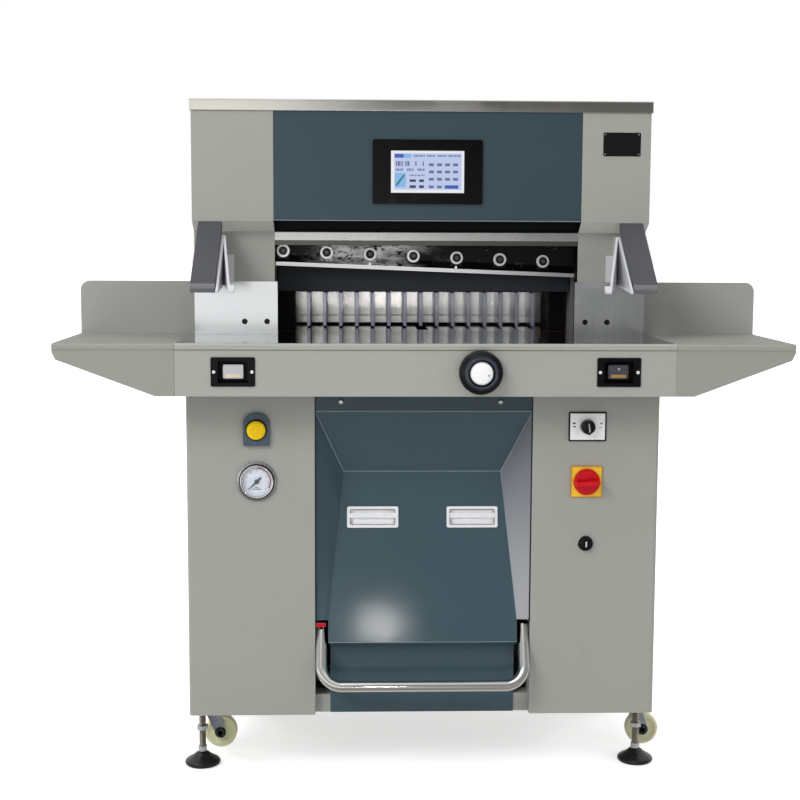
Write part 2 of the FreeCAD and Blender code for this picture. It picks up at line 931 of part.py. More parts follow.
def front_apron():
    """Painted front of the table: a rounded lip, a shadow groove and a face with a bottom flange."""
    apron = Piece("front_apron")
    half = table_half - d.part_gap
    lip_foot = d.table_height - d.lip_height
    foot = d.table_height - d.apron_drop
    wall = d.table_sheet
    apron.pad("yz", -half, half,
              polygon((apron_face_y, foot), (apron_face_y + 50, foot), (apron_face_y + 50, foot + wall),
                      (apron_face_y + wall, foot + wall), (apron_face_y + wall, lip_foot + 1),
                      (apron_face_y + d.groove, lip_foot + 1), (apron_face_y + d.groove, lip_foot - d.groove),
                      (apron_face_y, lip_foot - d.groove)))
    apron.pad("yz", -half, half, rectangle(apron_y, apron_y + d.lip_depth, lip_foot, d.table_height))
    apron.fillet(5, "x", (apron_y, d.table_height))
    apron.fillet(1.5, "x", (apron_y, lip_foot))
    for side in (-1, 1):
        x = side * d.cut_button_x
        apron.pocket("xz", apron_face_y, apron_face_y + wall,
                     rectangle(x - d.bezel_width / 2 + 4, x + d.bezel_width / 2 - 4,
                               d.apron_controls_z - d.bezel_height / 2 + 4,
                               d.apron_controls_z + d.bezel_height / 2 - 4))
    apron.pocket("xz", apron_face_y, apron_face_y + wall,
                 disc(d.wheel_x, d.apron_controls_z, wheel_shaft + 2 * d.running_gap))
    return finish(apron)


def side_tables():
    """Sheet side tables with a slanted apron, a bolting flange, and a fence plate behind each."""
    pieces = []
    back = cabinet_y + d.front_slab_reach
    lip_foot = d.table_height - d.lip_height
    foot = d.table_height - d.apron_drop
    for word, side in (("left", -1), ("right", 1)):
        near = side * (table_half + d.part_gap)
        tip = side * d.table_span / 2
        low, high = sorted_pair(near, tip, side)
        table = Piece(word + "_side_table")
        table.pad("xy", d.table_height - d.table_sheet, d.table_height,
                  rectangle(low, high, apron_y + 4, back))
        table.pad("xz", apron_face_y, apron_face_y + d.table_sheet,
                  polygon((near, lip_foot + 1), (near, foot), (near + side * d.side_apron_flat, foot),
                          (tip - side * d.tip_inset, foot + d.side_apron_rise),
                          (tip, d.table_height - d.tip_height), (tip, lip_foot + 1)))
        table.pad("yz", low, high, rectangle(apron_y, apron_y + d.lip_depth, lip_foot, d.table_height))
        inner_side = near + side * d.table_sheet
        flange_low, flange_high = sorted_pair(near, inner_side, side)
        table.pad("yz", flange_low, flange_high, rectangle(apron_face_y, back, foot, d.table_height - 1))
        table.fillet(5, "x", (apron_y, d.table_height))
        table.fillet(1.2, "x", (apron_y, lip_foot))
        pieces.append(table)
        fence = Piece(word + "_fence")
        fence_near = side * (cabinet_half + 2)
        fence_low, fence_high = sorted_pair(fence_near, tip, side)
        fence_top = d.table_height + d.fence_height
        fence.pad("xz", back, back + d.sheet_wall, rectangle(fence_low, fence_high, table_under, fence_top))
        fence.fillet(d.fence_corner, "y", (tip, fence_top))
        pieces.append(fence)
    group("side_tables", pieces)


# Cabinet covers

def column_shells(left_holes, right_holes):
    """Front and side of each column in one bent sheet, with a return beside the knee cover."""
    shells = []
    wall = d.sheet_wall
    for word, side, holes in (("left", -1, left_holes), ("right", 1, right_holes)):
        shell = Piece(word + "_column_shell")
        outer = side * cabinet_half
        inner = side * d.knee_opening / 2
        low, high = sorted_pair(inner, outer, side)
        shell.pad("xy", d.cabinet_bottom, table_under, rectangle(low, high, cabinet_y, cabinet_back_y))
        shell.pocket("xy", d.cabinet_bottom, table_under,
                     rectangle(low + wall, high - wall, cabinet_y + wall, cabinet_back_y))
        cut_low, cut_high = (inner, inner + wall) if side > 0 else (inner - wall, inner)
        shell.pocket("xy", d.cabinet_bottom, table_under,
                     rectangle(cut_low, cut_high, cabinet_y + d.column_return, cabinet_back_y))
        shell.pocket("xy", d.cabinet_bottom, rail_top,
                     rectangle(cut_low, cut_high, cabinet_y + d.rail_setback, cabinet_back_y))
        shell.pocket("xz", cabinet_y, cabinet_y + wall, *holes)
        shell.fillet(d.cabinet_corner - wall, "z", (outer - side * wall, cabinet_y + wall))
        shell.fillet(d.cabinet_corner, "z", (outer, cabinet_y))
        shells.append(shell)
    group("column_shells", shells)


def rear_cabinet_cover():
    """Back sheet of the cabinet with ventilation slots, its top flange and a notch for the lead screw."""
    cover = Piece("rear_cabinet_cover")
    half = cabinet_half - d.sheet_wall - d.part_gap
    wall = d.sheet_wall
    x = d.throat_shift
    cover.pad("yz", -half, half,
              polygon((gantry_back_y - wall, table_under - wall), (cabinet_back_y - wall, table_under - wall),
                      (cabinet_back_y - wall, d.cabinet_bottom), (cabinet_back_y, d.cabinet_bottom),
                      (cabinet_back_y, table_under), (gantry_back_y - wall, table_under)))
    cover.pocket("xy", table_under - d.gusset_drop / 2, table_under,
                 rectangle(x - 30, x + 30, gantry_back_y - wall, cabinet_back_y))
    for low in (d.left_vent_x, d.right_vent_x):
        slot = cover.pocket("xz", cabinet_back_y - wall, cabinet_back_y,
                            rounded(low, low + d.vent_length, d.vent_foot, d.vent_foot + d.vent_height,
                                    d.vent_height / 2 - 0.1))
        cover.repeat(slot, "V_Axis", d.vent_pitch, d.vent_rows)
    return finish(cover)


def knee_point(x, setback, z):
    return Vector(as_size(x).value, (cabinet_y + setback).value, as_size(z).value)


def knee_cover():
    """Folded sheet in front of the operator's knees: a sunk main face between slanted facets."""
    half = d.knee_opening / 2 - d.part_gap
    flange = 1
    pocket_setback = d.crease_setback - (d.crease_setback + d.knee_foot_reach) * (
        (d.crease_z - d.pocket_top) / (d.crease_z - d.knee_foot_z))
    top = table_under - d.part_gap
    toe_setback = d.rail_setback - d.knee_sheet
    back = Vector(0, d.knee_sheet.value, 0)
    rows = [(half, flange, top), (half, flange, d.knee_flange_foot),
            (d.crease_half, d.crease_setback, d.crease_z),
            (d.knee_foot_half, pocket_setback, d.pocket_top),
            (d.knee_foot_half, -d.knee_foot_reach, d.knee_foot_z),
            (d.toe_half, toe_setback, d.toe_top), (d.toe_half, toe_setback, d.cabinet_bottom)]
    solids = []
    for (half_a, set_a, z_a), (half_b, set_b, z_b) in zip(rows, rows[1:]):
        ring = [knee_point(-half_a, set_a, z_a), knee_point(half_a, set_a, z_a),
                knee_point(half_b, set_b, z_b), knee_point(-half_b, set_b, z_b)]
        solids.append(Part.Face(Part.makePolygon(ring + ring[:1])).extrude(back))
    for side in (-1, 1):
        outer = Part.makeLine(knee_point(side * half, flange, d.knee_flange_foot),
                              knee_point(side * half, flange, d.pocket_top))
        fold = Part.makeLine(knee_point(side * d.crease_half, d.crease_setback, d.crease_z),
                             knee_point(side * d.knee_foot_half, pocket_setback, d.pocket_top))
        solids.append(Part.makeRuledSurface(outer, fold).Faces[0].extrude(back))
    shape = solids[0].fuse(solids[1:]).removeSplitter()
    for side in (-1, 1):
        shape = shape.cut(pull_opening(side))
    cover = doc.addObject("Part::Feature", "knee_sheet")
    cover.Shape = shape.Solids[0]
    screws = []
    for word, x in (("left", -168), ("right", 155)):
        screw = Piece(word + "_knee_screw")
        screw.turned("xy", "V_Axis", (x, cabinet_y + flange, table_under - 94),
                     polygon((0, -3), (3, -3), (5, -1.5), (5, 0), (0, 0)))
        screws.append(screw)
    group("knee_cover", [cover] + screws)


main_angle = slope_angle(d.crease_setback + d.knee_foot_reach, d.crease_z - d.knee_foot_z)
pull_setback = d.crease_setback - (d.crease_setback + d.knee_foot_reach) * (
    (d.crease_z - d.pull_z) / (d.crease_z - d.knee_foot_z))


def pull_placement(side):
    turn = Rotation(Vector(1, 0, 0), -main_angle.value)
    return Placement(knee_point(side * d.pull_x, pull_setback, d.pull_z), turn)


def pull_opening(side):
    """The opening of one pull handle in the main face."""
    width, height = (d.pull_width - 6).value, (d.pull_height - 6).value
    box = Part.makeBox(width, 40, height, Vector(-width / 2, -20, -height / 2))
    box.Placement = pull_placement(side)
    return box


def pull_handles():
    """Two flush pulls: a rounded flange, a pan behind it and a grip bar across."""
    pulls = []
    for word, side in (("left", -1), ("right", 1)):
        pull = Piece(word + "_pull")
        half_w, half_h = d.pull_width / 2, d.pull_height / 2
        pull.pad("xz", -2.5, 0, rounded(-half_w, half_w, -half_h, half_h, 4))
        pull.pad("xz", 0, d.pull_depth,
                 rounded(-half_w + 4, half_w - 4, -half_h + 4, half_h - 4, 3))
        pull.pocket("xz", -2.5, d.pull_depth - 1.5,
                    rounded(-half_w + 6, half_w - 6, -half_h + 6, half_h - 6, 3))
        pull.pad("yz", -half_w + 5, half_w - 5, rounded(-2, 4, -2, 9, 1.9))
        pull.place(side * d.pull_x, cabinet_y + pull_setback, d.pull_z, Vector(-1, 0, 0), main_angle)
        pulls.append(pull)
    group("pull_handles", pulls)


# Gantry covers

def cheek_covers():
    """Two cheeks: the head face, the fold back to the throat and the foot on the table."""
    cheeks = []
    wall = d.sheet_wall
    back = gantry_back_y
    step = cabinet_y + d.front_slab_reach + wall
    for word, side, edge in (("left", -1, throat_left), ("right", 1, throat_right)):
        cheek = Piece(word + "_cheek")
        outer = side * cabinet_half
        low, high = sorted_pair(edge, outer, side)
        cheek.pad("yz", low, high,
                  polygon((head_y, cover_under), (head_y, d.head_foot), (cheek_y, d.cheek_top),
                          (cheek_y, d.table_height), (step, d.table_height), (step, table_under),
                          (back, table_under), (back, cover_under)))
        cheek.pocket("yz", low + wall, high - wall,
                     polygon((head_y + wall, cover_under), (head_y + wall, d.head_foot),
                             (cheek_y + wall, d.cheek_top - 1), (cheek_y + wall, table_under),
                             (gantry_back_y, table_under), (gantry_back_y, cover_under)))
        cut_low, cut_high = (edge, edge + wall) if side > 0 else (edge - wall, edge)
        cheek.pocket("yz", cut_low, cut_high,
                     polygon((cheek_y + d.return_depth, table_under), (gantry_back_y, table_under),
                             (gantry_back_y, cover_under), (head_y + d.seam_depth, cover_under),
                             (head_y + d.seam_depth, d.head_foot), (cheek_y + 15, d.cheek_top - 10),
                             (cheek_y + d.return_depth, d.cheek_top - 10)))
        cheeks.append(cheek)
    group("cheek_covers", cheeks)


def guide_plates():
    """Ground side-guide plates on the cheeks, beside the throat."""
    plates = []
    screw_z = d.table_height + d.guide_screw_rise
    hole = d.guide_screw_hole / 2
    head = d.guide_screw_head / 2
    for word, side, edge, holes in (("left", -1, throat_left, (-374, -326.6)),
                                    ("right", 1, throat_right, (353.5, 400.6))):
        plate = Piece(word + "_guide_plate")
        inner = edge - side * d.guide_plate_lap
        outer = side * cabinet_half
        low, high = sorted_pair(inner, outer, side)
        plate.pad("xz", cheek_y - d.guide_plate, cheek_y,
                  rectangle(low, high, d.table_height, d.table_height + d.guide_plate_height))
        front = cheek_y - d.guide_plate
        plate.pocket("xz", front, cheek_y, *[disc(x, screw_z, d.guide_screw_hole) for x in holes])
        plates.append(plate)
        for x in holes:
            plate.turned("xy", "V_Axis", (x, front, screw_z),
                         polygon((0, 0), (head, 0), (hole, hole), (0, hole)), cut=True)
            screw = Piece("guide_screw_%d" % abs(x))
            screw.turned("xy", "V_Axis", (x, front, screw_z),
                         polygon((0, 0.4), (head - 0.4, 0.4), (hole, hole), (hole, d.guide_plate),
                                 (0, d.guide_plate)))
            screw.pocket("xz", front, front + 2.4, hexagon(x, screw_z, 5))
            plates.append(screw)
    group("guide_plates", plates)


def gantry_rear_cover():
    """Back sheet of the gantry, open over the back table, with the fixed hinge knuckles."""
    cover = Piece("gantry_rear_cover")
    half = cabinet_half - d.sheet_wall - d.part_gap
    notch = hood_half + 3
    x = d.throat_shift
    opening = d.table_height + d.hood_height - 4
    cover.pad("xz", gantry_back_y - d.sheet_wall, gantry_back_y,
              polygon((-half, table_under), (x - notch, table_under), (x - notch, opening),
                      (x + notch, opening), (x + notch, table_under), (half, table_under),
                      (half, cover_under), (-half, cover_under)))
    for side in (-1, 1):
        middle = x + side * d.hinge_reach
        low = middle - d.knuckle_length / 2
        cover.pad("yz", low - d.knuckle_length / 2, low - d.part_gap, disc(hinge_y, hinge_z, d.knuckle))
        cover.pad("yz", low - d.knuckle_length / 2, low + d.knuckle_length,
                  disc(hinge_y, hinge_z, d.hinge_pin))
        cover.pad("yz", low - d.knuckle_length / 2, low - d.part_gap,
                  rectangle(gantry_back_y - 1, hinge_y, hinge_z - 3, hinge_z + 3))
    return finish(cover)


hinge_y = gantry_back_y + d.hinge_setback + d.knuckle / 2
hinge_z = d.table_height + d.hood_height + d.hinge_rise


def rear_table_cover():
    """Hinged hood over the back table: bent top, sides and back, with its hinge knuckles."""
    hood = Piece("rear_table_cover")
    x = d.throat_shift
    half = hood_half
    wall = d.sheet_wall
    top = d.table_height + d.hood_height
    front = gantry_back_y + d.part_gap
    hood.pad("xy", d.table_height, top, rectangle(x - half, x + half, front, rear_y))
    hood.fillet(12, "x", (rear_y, top))
    hood.fillet(6, "y", (x - half, top), (x + half, top))
    hood.pocket("xy", d.table_height, top - wall,
                rectangle(x - half + wall, x + half - wall, front, rear_y - wall))
    hood.pocket("xy", top - wall, top, rectangle(x - half, x + half, front, hinge_y - d.knuckle / 2 - 1))
    for side in (-1, 1):
        low = x + side * d.hinge_reach - d.knuckle_length / 2
        hood.pad("yz", low, low + d.knuckle_length, disc(hinge_y, hinge_z, d.knuckle),
                 disc(hinge_y, hinge_z, d.hinge_pin + 2 * d.running_gap))
        hood.pad("yz", low, low + d.knuckle_length,
                 rectangle(hinge_y + d.hinge_pin / 2 + 1, hinge_y + d.knuckle, top - 1, hinge_z))
    return finish(hood)


def top_cover():
    """Brushed lid of the gantry, turned down at its edges."""
    cover = Piece("top_cover")
    half = cabinet_half + d.top_cover_lap
    front = head_y - d.top_cover_lap
    back = gantry_back_y + d.top_cover_lap
    wall = d.sheet_wall
    cover.pad("xy", skirt_foot, d.overall_height, rectangle(-half, half, front, back))
    cover.fillet(3, "x", (front, d.overall_height), (back, d.overall_height))
    cover.pocket("xy", skirt_foot, cover_under,
                 rectangle(-half + wall, half - wall, front + wall, back - wall))
    return finish(cover)


def head_panel():
    """Dark front panel between the cheeks, with the screen opening and a bottom lip."""
    panel = Piece("head_panel")
    low, high = throat_left + d.part_gap, throat_right - d.part_gap
    wall = d.sheet_wall
    panel.pad("yz", low, high,
              polygon((head_y, cover_under), (head_y, d.head_panel_foot), (head_y + 3, d.head_panel_foot - 6),
                      (head_y + 40, d.head_panel_foot - 6), (head_y + 40, d.head_panel_foot - 6 + wall),
                      (head_y + 3 + wall, d.head_panel_foot - 6 + wall),
                      (head_y + wall, d.head_panel_foot + wall), (head_y + wall, cover_under)))
    panel.pocket("xz", head_y, head_y + wall,
                 rectangle(d.screen_x - d.screen_width / 2 + d.screen_lap,
                           d.screen_x + d.screen_width / 2 - d.screen_lap,
                           d.screen_z - d.screen_height / 2 + d.screen_lap,
                           d.screen_z + d.screen_height / 2 - d.screen_lap))
    return finish(panel)


def touch_screen():
    """Panel computer: a thin bezel in front, its case behind the sheet, and a sunk display."""
    screen = Piece("touch_screen")
    half_w, half_h = d.screen_width / 2, d.screen_height / 2
    x, z = d.screen_x, d.screen_z
    screen.pad("xz", head_y - d.screen_bezel, head_y,
               rounded(x - half_w, x + half_w, z - half_h, z + half_h, 4))
    screen.pad("xz", head_y, head_y + d.screen_case,
               rectangle(x - half_w + 9, x + half_w - 9, z - half_h + 9, z + half_h - 9))
    screen.pocket("xz", head_y - d.screen_bezel, head_y - d.screen_bezel + 1.5,
                  rectangle(x - d.display_width / 2, x + d.display_width / 2,
                            z - d.display_height / 2, z + d.display_height / 2))
    return finish(screen)


def deflector_bar():
    """Polished bar across the top of the throat, in front of the knife."""
    bar = Piece("deflector_bar")
    front = cheek_y
    top = d.cheek_top + d.bar_rise
    bar.pad("yz", throat_left, throat_right,
            rectangle(front, front + d.bar_depth, top - d.bar_height, top))
    bar.fillet(3, "x", (front, top))
    bar.pad("yz", throat_left, throat_right,
            rectangle(front + d.bar_depth - 3, front + d.bar_depth, top, d.head_panel_foot - 6))
    bar.pad("yz", throat_left, throat_right,
            rectangle(front + d.bar_lip_setback, front + d.bar_depth,
                      top - d.bar_height - d.bar_lip, top - d.bar_height))
    return finish(bar)


# Knife group, built level about the right pin and set at its tilted rest place

knife_axis_y = cabinet_y + d.knife_axis_setback
beam_rear = cut_y - d.blade_thickness
beam_front = beam_rear - d.beam_thickness
edge = -d.pin_height


def set_knife(piece):
    piece.place(d.right_pin_x, 0, pin_start_z, Vector(0, 1, 0), tilt)
    return finish(piece)


def knife_beam():
    """Knife carrier, chamfered in front below, with the screw seats, the right bore and the left pin."""
    beam = Piece("knife_beam")
    left, right = -d.pin_spacing - 40, 38
    foot = edge + d.bevel_height + 1
    top = edge + d.beam_height
    beam.pad("xz", beam_front, beam_rear,
             polygon((left, foot + 30), (left + 45, foot), (right - 30, foot), (right, foot + 30),
                     (right, top - 40), (right - 60, top), (left + 60, top), (left, top - 40)))
    beam.pocket("xz", beam_front, beam_rear, disc(0, 0, d.pin_diameter + 2 * d.running_gap))
    beam.pad("xz", beam_rear, frame_y + d.slot_depth - 1, disc(-d.pin_spacing, 0, d.pin_diameter))
    beam.pocket("yz", left - 1, right + 1,
                polygon((beam_front - 1, foot - 1), (beam_front + d.carrier_chamfer + 1, foot - 1),
                        (beam_front - 1, foot + d.carrier_chamfer + 1)))
    first = -d.screw_start
    seat = beam.pad("xz", beam_front, beam_front + d.carrier_chamfer,
                    rectangle(first - d.seat_width / 2, first + d.seat_width / 2,
                              edge + d.seat_foot, edge + d.screw_height))
    beam.repeat(seat, "H_Axis", d.screw_pitch, d.screw_count)
    hole = beam.pocket("xz", beam_front, beam_rear, disc(first, edge + d.screw_height, 12))
    beam.repeat(hole, "H_Axis", d.screw_pitch, d.screw_count)
    beam.pocket("xz", beam_front, beam_front + 8, rounded(left + 70, right - 70, 10, top - 22, 8))
    return set_knife(beam)


def knife_blade():
    """Ground knife: flat behind at the cut plane, one bevel in front down to the edge."""
    blade = Piece("blade")
    left = -d.blade_length + 5
    blade.pad("yz", left, left + d.blade_length,
              polygon((cut_y, edge), (cut_y, edge + d.blade_height),
                      (beam_rear, edge + d.blade_height), (beam_rear, edge + d.bevel_height)))
    return set_knife(blade)


def blade_screws():
    """Socket screws with wide washers that hold the knife to its carrier."""
    screws = []
    for index in range(int(d.screw_count.value)):
        x = -d.screw_start + d.screw_pitch * index
        z = edge + d.screw_height
        screw = Piece("blade_screw_%d" % (index + 1))
        screw.pad("xz", beam_front - 4, beam_front, disc(x, z, d.screw_washer))
        screw.pad("xz", beam_front - 11, beam_front - 4, disc(x, z, 18))
        screw.pad("xz", beam_front, beam_rear, disc(x, z, 12 - 2 * d.slide_gap))
        screw.pocket("xz", beam_front - 11, beam_front - 5, hexagon(x, z, 8))
        screw.place(d.right_pin_x, 0, pin_start_z, Vector(0, 1, 0), tilt)
        screws.append(screw)
    group("blade_screws", screws)


def slide_block(label, bore):
    """Bronze block that runs in the slanted slot of its upright, built upright about its pin."""
    block = Piece(label)
    front = frame_y + 1
    half_l, half_w = d.block_length / 2, d.block_width / 2
    block.pad("xz", front, front + d.block_thickness, rectangle(-half_w, half_w, -half_l, half_l))
    block.chamfer(3, "y", (-half_w, -half_l), (half_w, -half_l), (-half_w, half_l), (half_w, half_l))
    if bore:
        block.pocket("xz", front, front + d.block_thickness, disc(0, 0, bore))
    return block


def right_slide_block():
    """Right block with the long pin that carries the knife and takes the cylinder's rod eye."""
    block = slide_block("right_slide_block", None)
    block.pad("xz", knife_axis_y - 16, frame_y + 1, disc(0, 0, d.pin_diameter))
    block.place(d.right_pin_x, 0, pin_start_z, Vector(0, -1, 0), right_slot_angle)
    return finish(block)


def left_slide_block():
    block = slide_block("left_slide_block", d.pin_diameter + 2 * d.loop_gap)
    block.place(left_start_x, 0, left_start_z, Vector(0, -1, 0), left_slot_angle)
    return finish(block)


def knife_rod():
    """Piston rod of the knife cylinder with its eye on the right pin."""
    rod = Piece("knife_rod")
    eye = d.pin_diameter + 24
    piston = d.knife_barrel_start + d.knife_barrel - 10
    rod.pad("xz", knife_axis_y - 14, knife_axis_y + 14, disc(0, 0, eye))
    rod.turned("xz", "V_Axis", (0, 0, -knife_axis_y),
               polygon((0, d.pin_diameter / 2 + 4), (d.piston_rod / 2, d.pin_diameter / 2 + 4),
                       (d.piston_rod / 2, piston - 18), (d.knife_bore / 2 - d.running_gap, piston - 18),
                       (d.knife_bore / 2 - d.running_gap, piston), (0, piston)))
    rod.pocket("xz", knife_axis_y - 14, knife_axis_y + 14, disc(0, 0, d.pin_diameter))
    rod.place(d.right_pin_x, 0, pin_start_z, Vector(0, -1, 0), right_slot_angle)
    return finish(rod)


def knife_cylinder_x(along):
    return d.right_pin_x - along * sine(right_slot_angle)


def knife_cylinder_z(along):
    return pin_start_z + along * cosine(right_slot_angle)


def hydraulic_cylinders():
    """The slanted knife cylinder in the head and the upright clamp cylinder in the cabinet."""
    knife = Piece("knife_cylinder")
    inside = d.knife_bore / 2
    outside = d.knife_bore / 2 + 6
    gland = d.piston_rod / 2 + d.running_gap
    start = d.knife_barrel_start
    top = start + d.knife_barrel
    knife.turned("xz", "V_Axis", (0, 0, -knife_axis_y),
                 polygon((gland, start), (outside, start), (outside, top), (0, top), (0, top - 8),
                         (inside, top - 8), (inside, start + 8), (gland, start + 8)))
    knife.place(d.right_pin_x, 0, pin_start_z, Vector(0, -1, 0), right_slot_angle)
    clamp = Piece("clamp_cylinder")
    low = d.barrel_foot
    high = low + d.barrel_length
    clamp.turned("xz", "V_Axis", (d.throat_shift, 0, -barrel_y),
                 polygon((0, low), (d.clamp_barrel / 2, low), (d.clamp_barrel / 2, high),
                         (d.clamp_rod / 2 + d.running_gap, high),
                         (d.clamp_rod / 2 + d.running_gap, high - 16), (d.clamp_bore / 2, high - 16),
                         (d.clamp_bore / 2, low + 16), (0, low + 16)))
    clamp.pad("xy", rail_top, low,
              rectangle(d.throat_shift - 30, d.throat_shift + 30, barrel_y - 18, barrel_y + 18))
    group("hydraulic_cylinders", [knife, clamp])


# Clamp

clamp_foot = d.table_height + d.clamp_opening
clamp_front = cut_y + d.part_gap
clamp_rear = clamp_front + d.clamp_depth
wing_z = clamp_foot + 92
post_y = cabinet_y + d.post_setback


def clamp_beam():
    """Clamp bar with a comb of slots behind for the gauge fingers, guide shoes and pull-rod eyes."""
    beam = Piece("clamp_beam")
    low, high = throat_left + 1, throat_right - 1
    top = clamp_foot + d.clamp_height
    beam.pad("xy", clamp_foot, top, rectangle(low, high, clamp_front, clamp_rear))
    start = d.throat_shift - d.rib_pitch * (d.rib_count - 1) / 2
    slot = beam.pocket("xy", clamp_foot, clamp_foot + d.comb_height,
                       rectangle(start - d.comb_slot / 2, start + d.comb_slot / 2,
                                 clamp_rear - d.comb_depth, clamp_rear))
    beam.repeat(slot, "H_Axis", d.rib_pitch, d.rib_count)
    for side, edge_x in ((-1, throat_left), (1, throat_right)):
        post_face = edge_x - side * (d.post_width + d.slide_gap)
        far = post_face - side * 20
        shoe_low, shoe_high = sorted_pair(far, post_face, side)
        beam.pad("xy", wing_z, top,
                 rectangle(shoe_low, shoe_high, clamp_rear - 1, post_y + d.post_depth))
        rod_x = d.throat_shift + side * d.rod_reach
        wing_near = edge_x - side * 20
        wing_far = rod_x + side * 20
        wing_low, wing_high = sorted_pair(wing_near, wing_far, side)
        beam.pad("xy", wing_z, wing_z + 40,
                 rectangle(wing_low, wing_high, clamp_rear - 1, post_y - d.slide_gap))
        beam.pad("xy", wing_z, wing_z + 40,
                 rectangle(rod_x - 20, rod_x + 20, frame_y + d.flange_depth + 2, barrel_y + 20))
    return finish(beam)


def clamp_yoke():
    """Cross yoke below the table with both pull rods and the piston rod of the clamp cylinder."""
    yoke = Piece("clamp_yoke")
    x = d.throat_shift
    half = d.rod_reach + 20
    top = d.yoke_foot + d.yoke_height
    yoke.pad("xy", d.yoke_foot, top,
             rectangle(x - half, x + half, barrel_y - d.yoke_depth / 2, barrel_y + d.yoke_depth / 2))
    for side in (-1, 1):
        yoke.pad("xy", top - 1, wing_z, disc(x + side * d.rod_reach, barrel_y, d.rod_diameter))
    low = d.barrel_foot + d.barrel_length - 60
    yoke.pad("xy", low, d.yoke_foot, disc(x, barrel_y, d.clamp_rod))
    yoke.pad("xy", low - 18, low, disc(x, barrel_y, d.clamp_bore - 2 * d.running_gap))
    return finish(yoke)


def clamp_guide_posts():
    """Dark upright posts at the ends of the throat that guide the clamp shoes."""
    posts = []
    for word, edge_x, inward in (("left", throat_left, 1), ("right", throat_right, -1)):
        inner = edge_x + inward * d.post_width
        low, high = (edge_x, inner) if inward > 0 else (inner, edge_x)
        post = Piece(word + "_guide_post")
        post.pad("xy", d.table_height, d.beam_foot,
                 rectangle(low, high, post_y, post_y + d.post_depth))
        posts.append(post)
    group("clamp_guide_posts", posts)


# Back gauge

gauge_y = cabinet_y + d.gauge_setback


def back_gauge():
    """Gauge fence with finger ribs, on a carriage that reaches through the slot to the lead nut."""
    gauge = Piece("back_gauge")
    x = d.throat_shift
    half = d.gauge_width / 2
    foot = d.table_height + d.gauge_lift
    top = foot + d.gauge_height
    rear = gauge_y + d.gauge_plate
    gauge.pad("xy", foot, top, rectangle(x - half, x + half, gauge_y, rear))
    gauge.pocket("xz", gauge_y, gauge_y + 2, rectangle(x - half + 4, x + half - 4, foot + 16, foot + 19))
    gauge.pad("xy", d.table_height + 1, foot + 20,
              rectangle(x - d.carriage_half, x + d.carriage_half, rear, rear + d.carriage_reach))
    for gusset_x in (-60, 48):
        gauge.pad("yz", x + gusset_x, x + gusset_x + 12,
                  polygon((rear - 1, foot + 19), (rear + 80, foot + 19), (rear - 1, top)))
    start = x - d.rib_pitch * (d.rib_count - 1) / 2
    rib = gauge.pad("xy", d.table_height + d.rib_lift, top + 2,
                    rectangle(start - d.rib_width / 2, start + d.rib_width / 2,
                              gauge_y - d.rib_reach, gauge_y + 4))
    gauge.repeat(rib, "H_Axis", d.rib_pitch, d.rib_count)
    neck = slot_half - d.slide_gap
    neck_low = rear + d.neck_start
    neck_high = rear + d.neck_end
    gauge.pad("xy", lead_z, d.table_height + 2, rectangle(x - neck, x + neck, neck_low, neck_high))
    gauge.pad("xy", lead_z - 20, lead_z + 20, rectangle(x - 24, x + 24, neck_low, neck_high))
    gauge.pocket("xz", neck_low - 1, neck_high + 1, disc(x, lead_z, lead_bore))
    return finish(gauge)


def gauge_lead_screw():
    """Lead screw of the back gauge with its thrust collar and drive coupling."""
    screw = Piece("gauge_lead_screw")
    start = cabinet_y + d.slot_start - 24
    screw.turned("xy", "V_Axis", (d.throat_shift, 0, lead_z),
                 polygon((0, start), (d.lead_screw / 2, start), (d.lead_screw / 2, rear_bearing_y - 8),
                         (16, rear_bearing_y - 8), (16, rear_bearing_y - 1),
                         (d.lead_screw / 2, rear_bearing_y - 1), (d.lead_screw / 2, rear_bearing_y + 21),
                         (0, rear_bearing_y + 21)))
    return finish(screw)


def gauge_motor():
    """Stepping motor behind the rear bearing, on a flange under the table."""
    motor = Piece("gauge_motor")
    x = d.throat_shift
    low = rear_bearing_y + 20
    half = d.motor_half
    motor.pad("xz", low, low + d.motor_flange,
              rectangle(x - half - 2, x + half + 2, lead_z - half - 2, table_under))
    motor.pad("xz", low + d.motor_flange, rear_y - 5,
              rounded(x - half, x + half, lead_z - half, lead_z + half, 8))
    motor.pocket("xz", low, low + 6, disc(x, lead_z, d.lead_screw + 4))
    return finish(motor)


# Hydraulic power pack

tank_front = cabinet_y + d.tank_setback
tank_top = rail_top + d.tank_rise


def hydraulic_tank():
    """Oil tank on the rear of the base, with its filler cap."""
    tank = Piece("hydraulic_tank")
    back = cabinet_back_y - 26
    tank.pad("xy", d.cabinet_bottom + d.table_sheet, tank_top,
             rectangle(-d.tank_half, d.tank_half, tank_front, back - d.rail_width + 6))
    tank.fillet(8, "z", (-d.tank_half, tank_front), (d.tank_half, tank_front))
    tank.pad("xy", tank_top, tank_top + 30, disc(-250, tank_front + 60, 60))
    return finish(tank)


def pump_motor():
    """Electric motor, gear pump and valve block on the tank."""
    pump = Piece("pump_motor")
    y = tank_front + 85
    z = tank_top + d.motor_axis_rise
    start, end = d.motor_start, d.motor_end
    width = d.motor_diameter
    pump.pad("xy", tank_top, tank_top + 14, rectangle(start, d.pump_end + 30, y - 60, y + 60))
    pump.pad("xy", tank_top, z, rectangle(start + 40, end - 30, y - 40, y + 40))
    pump.pad("yz", start, end, disc(y, z, width))
    pump.pad("yz", start - 10, start, disc(y, z, width - 20))
    pump.pad("yz", end, end + 30, disc(y, z, width - 60))
    pump.pad("yz", end + 30, d.pump_end,
             rectangle(y - d.pump_half, y + d.pump_half, tank_top + 13, z + d.pump_half))
    pump.fillet_rims(6, "x", (width, start), (width, end))
    return finish(pump)


# Front controls

wheel_shaft = d.shaft_bore
control_face = cabinet_y


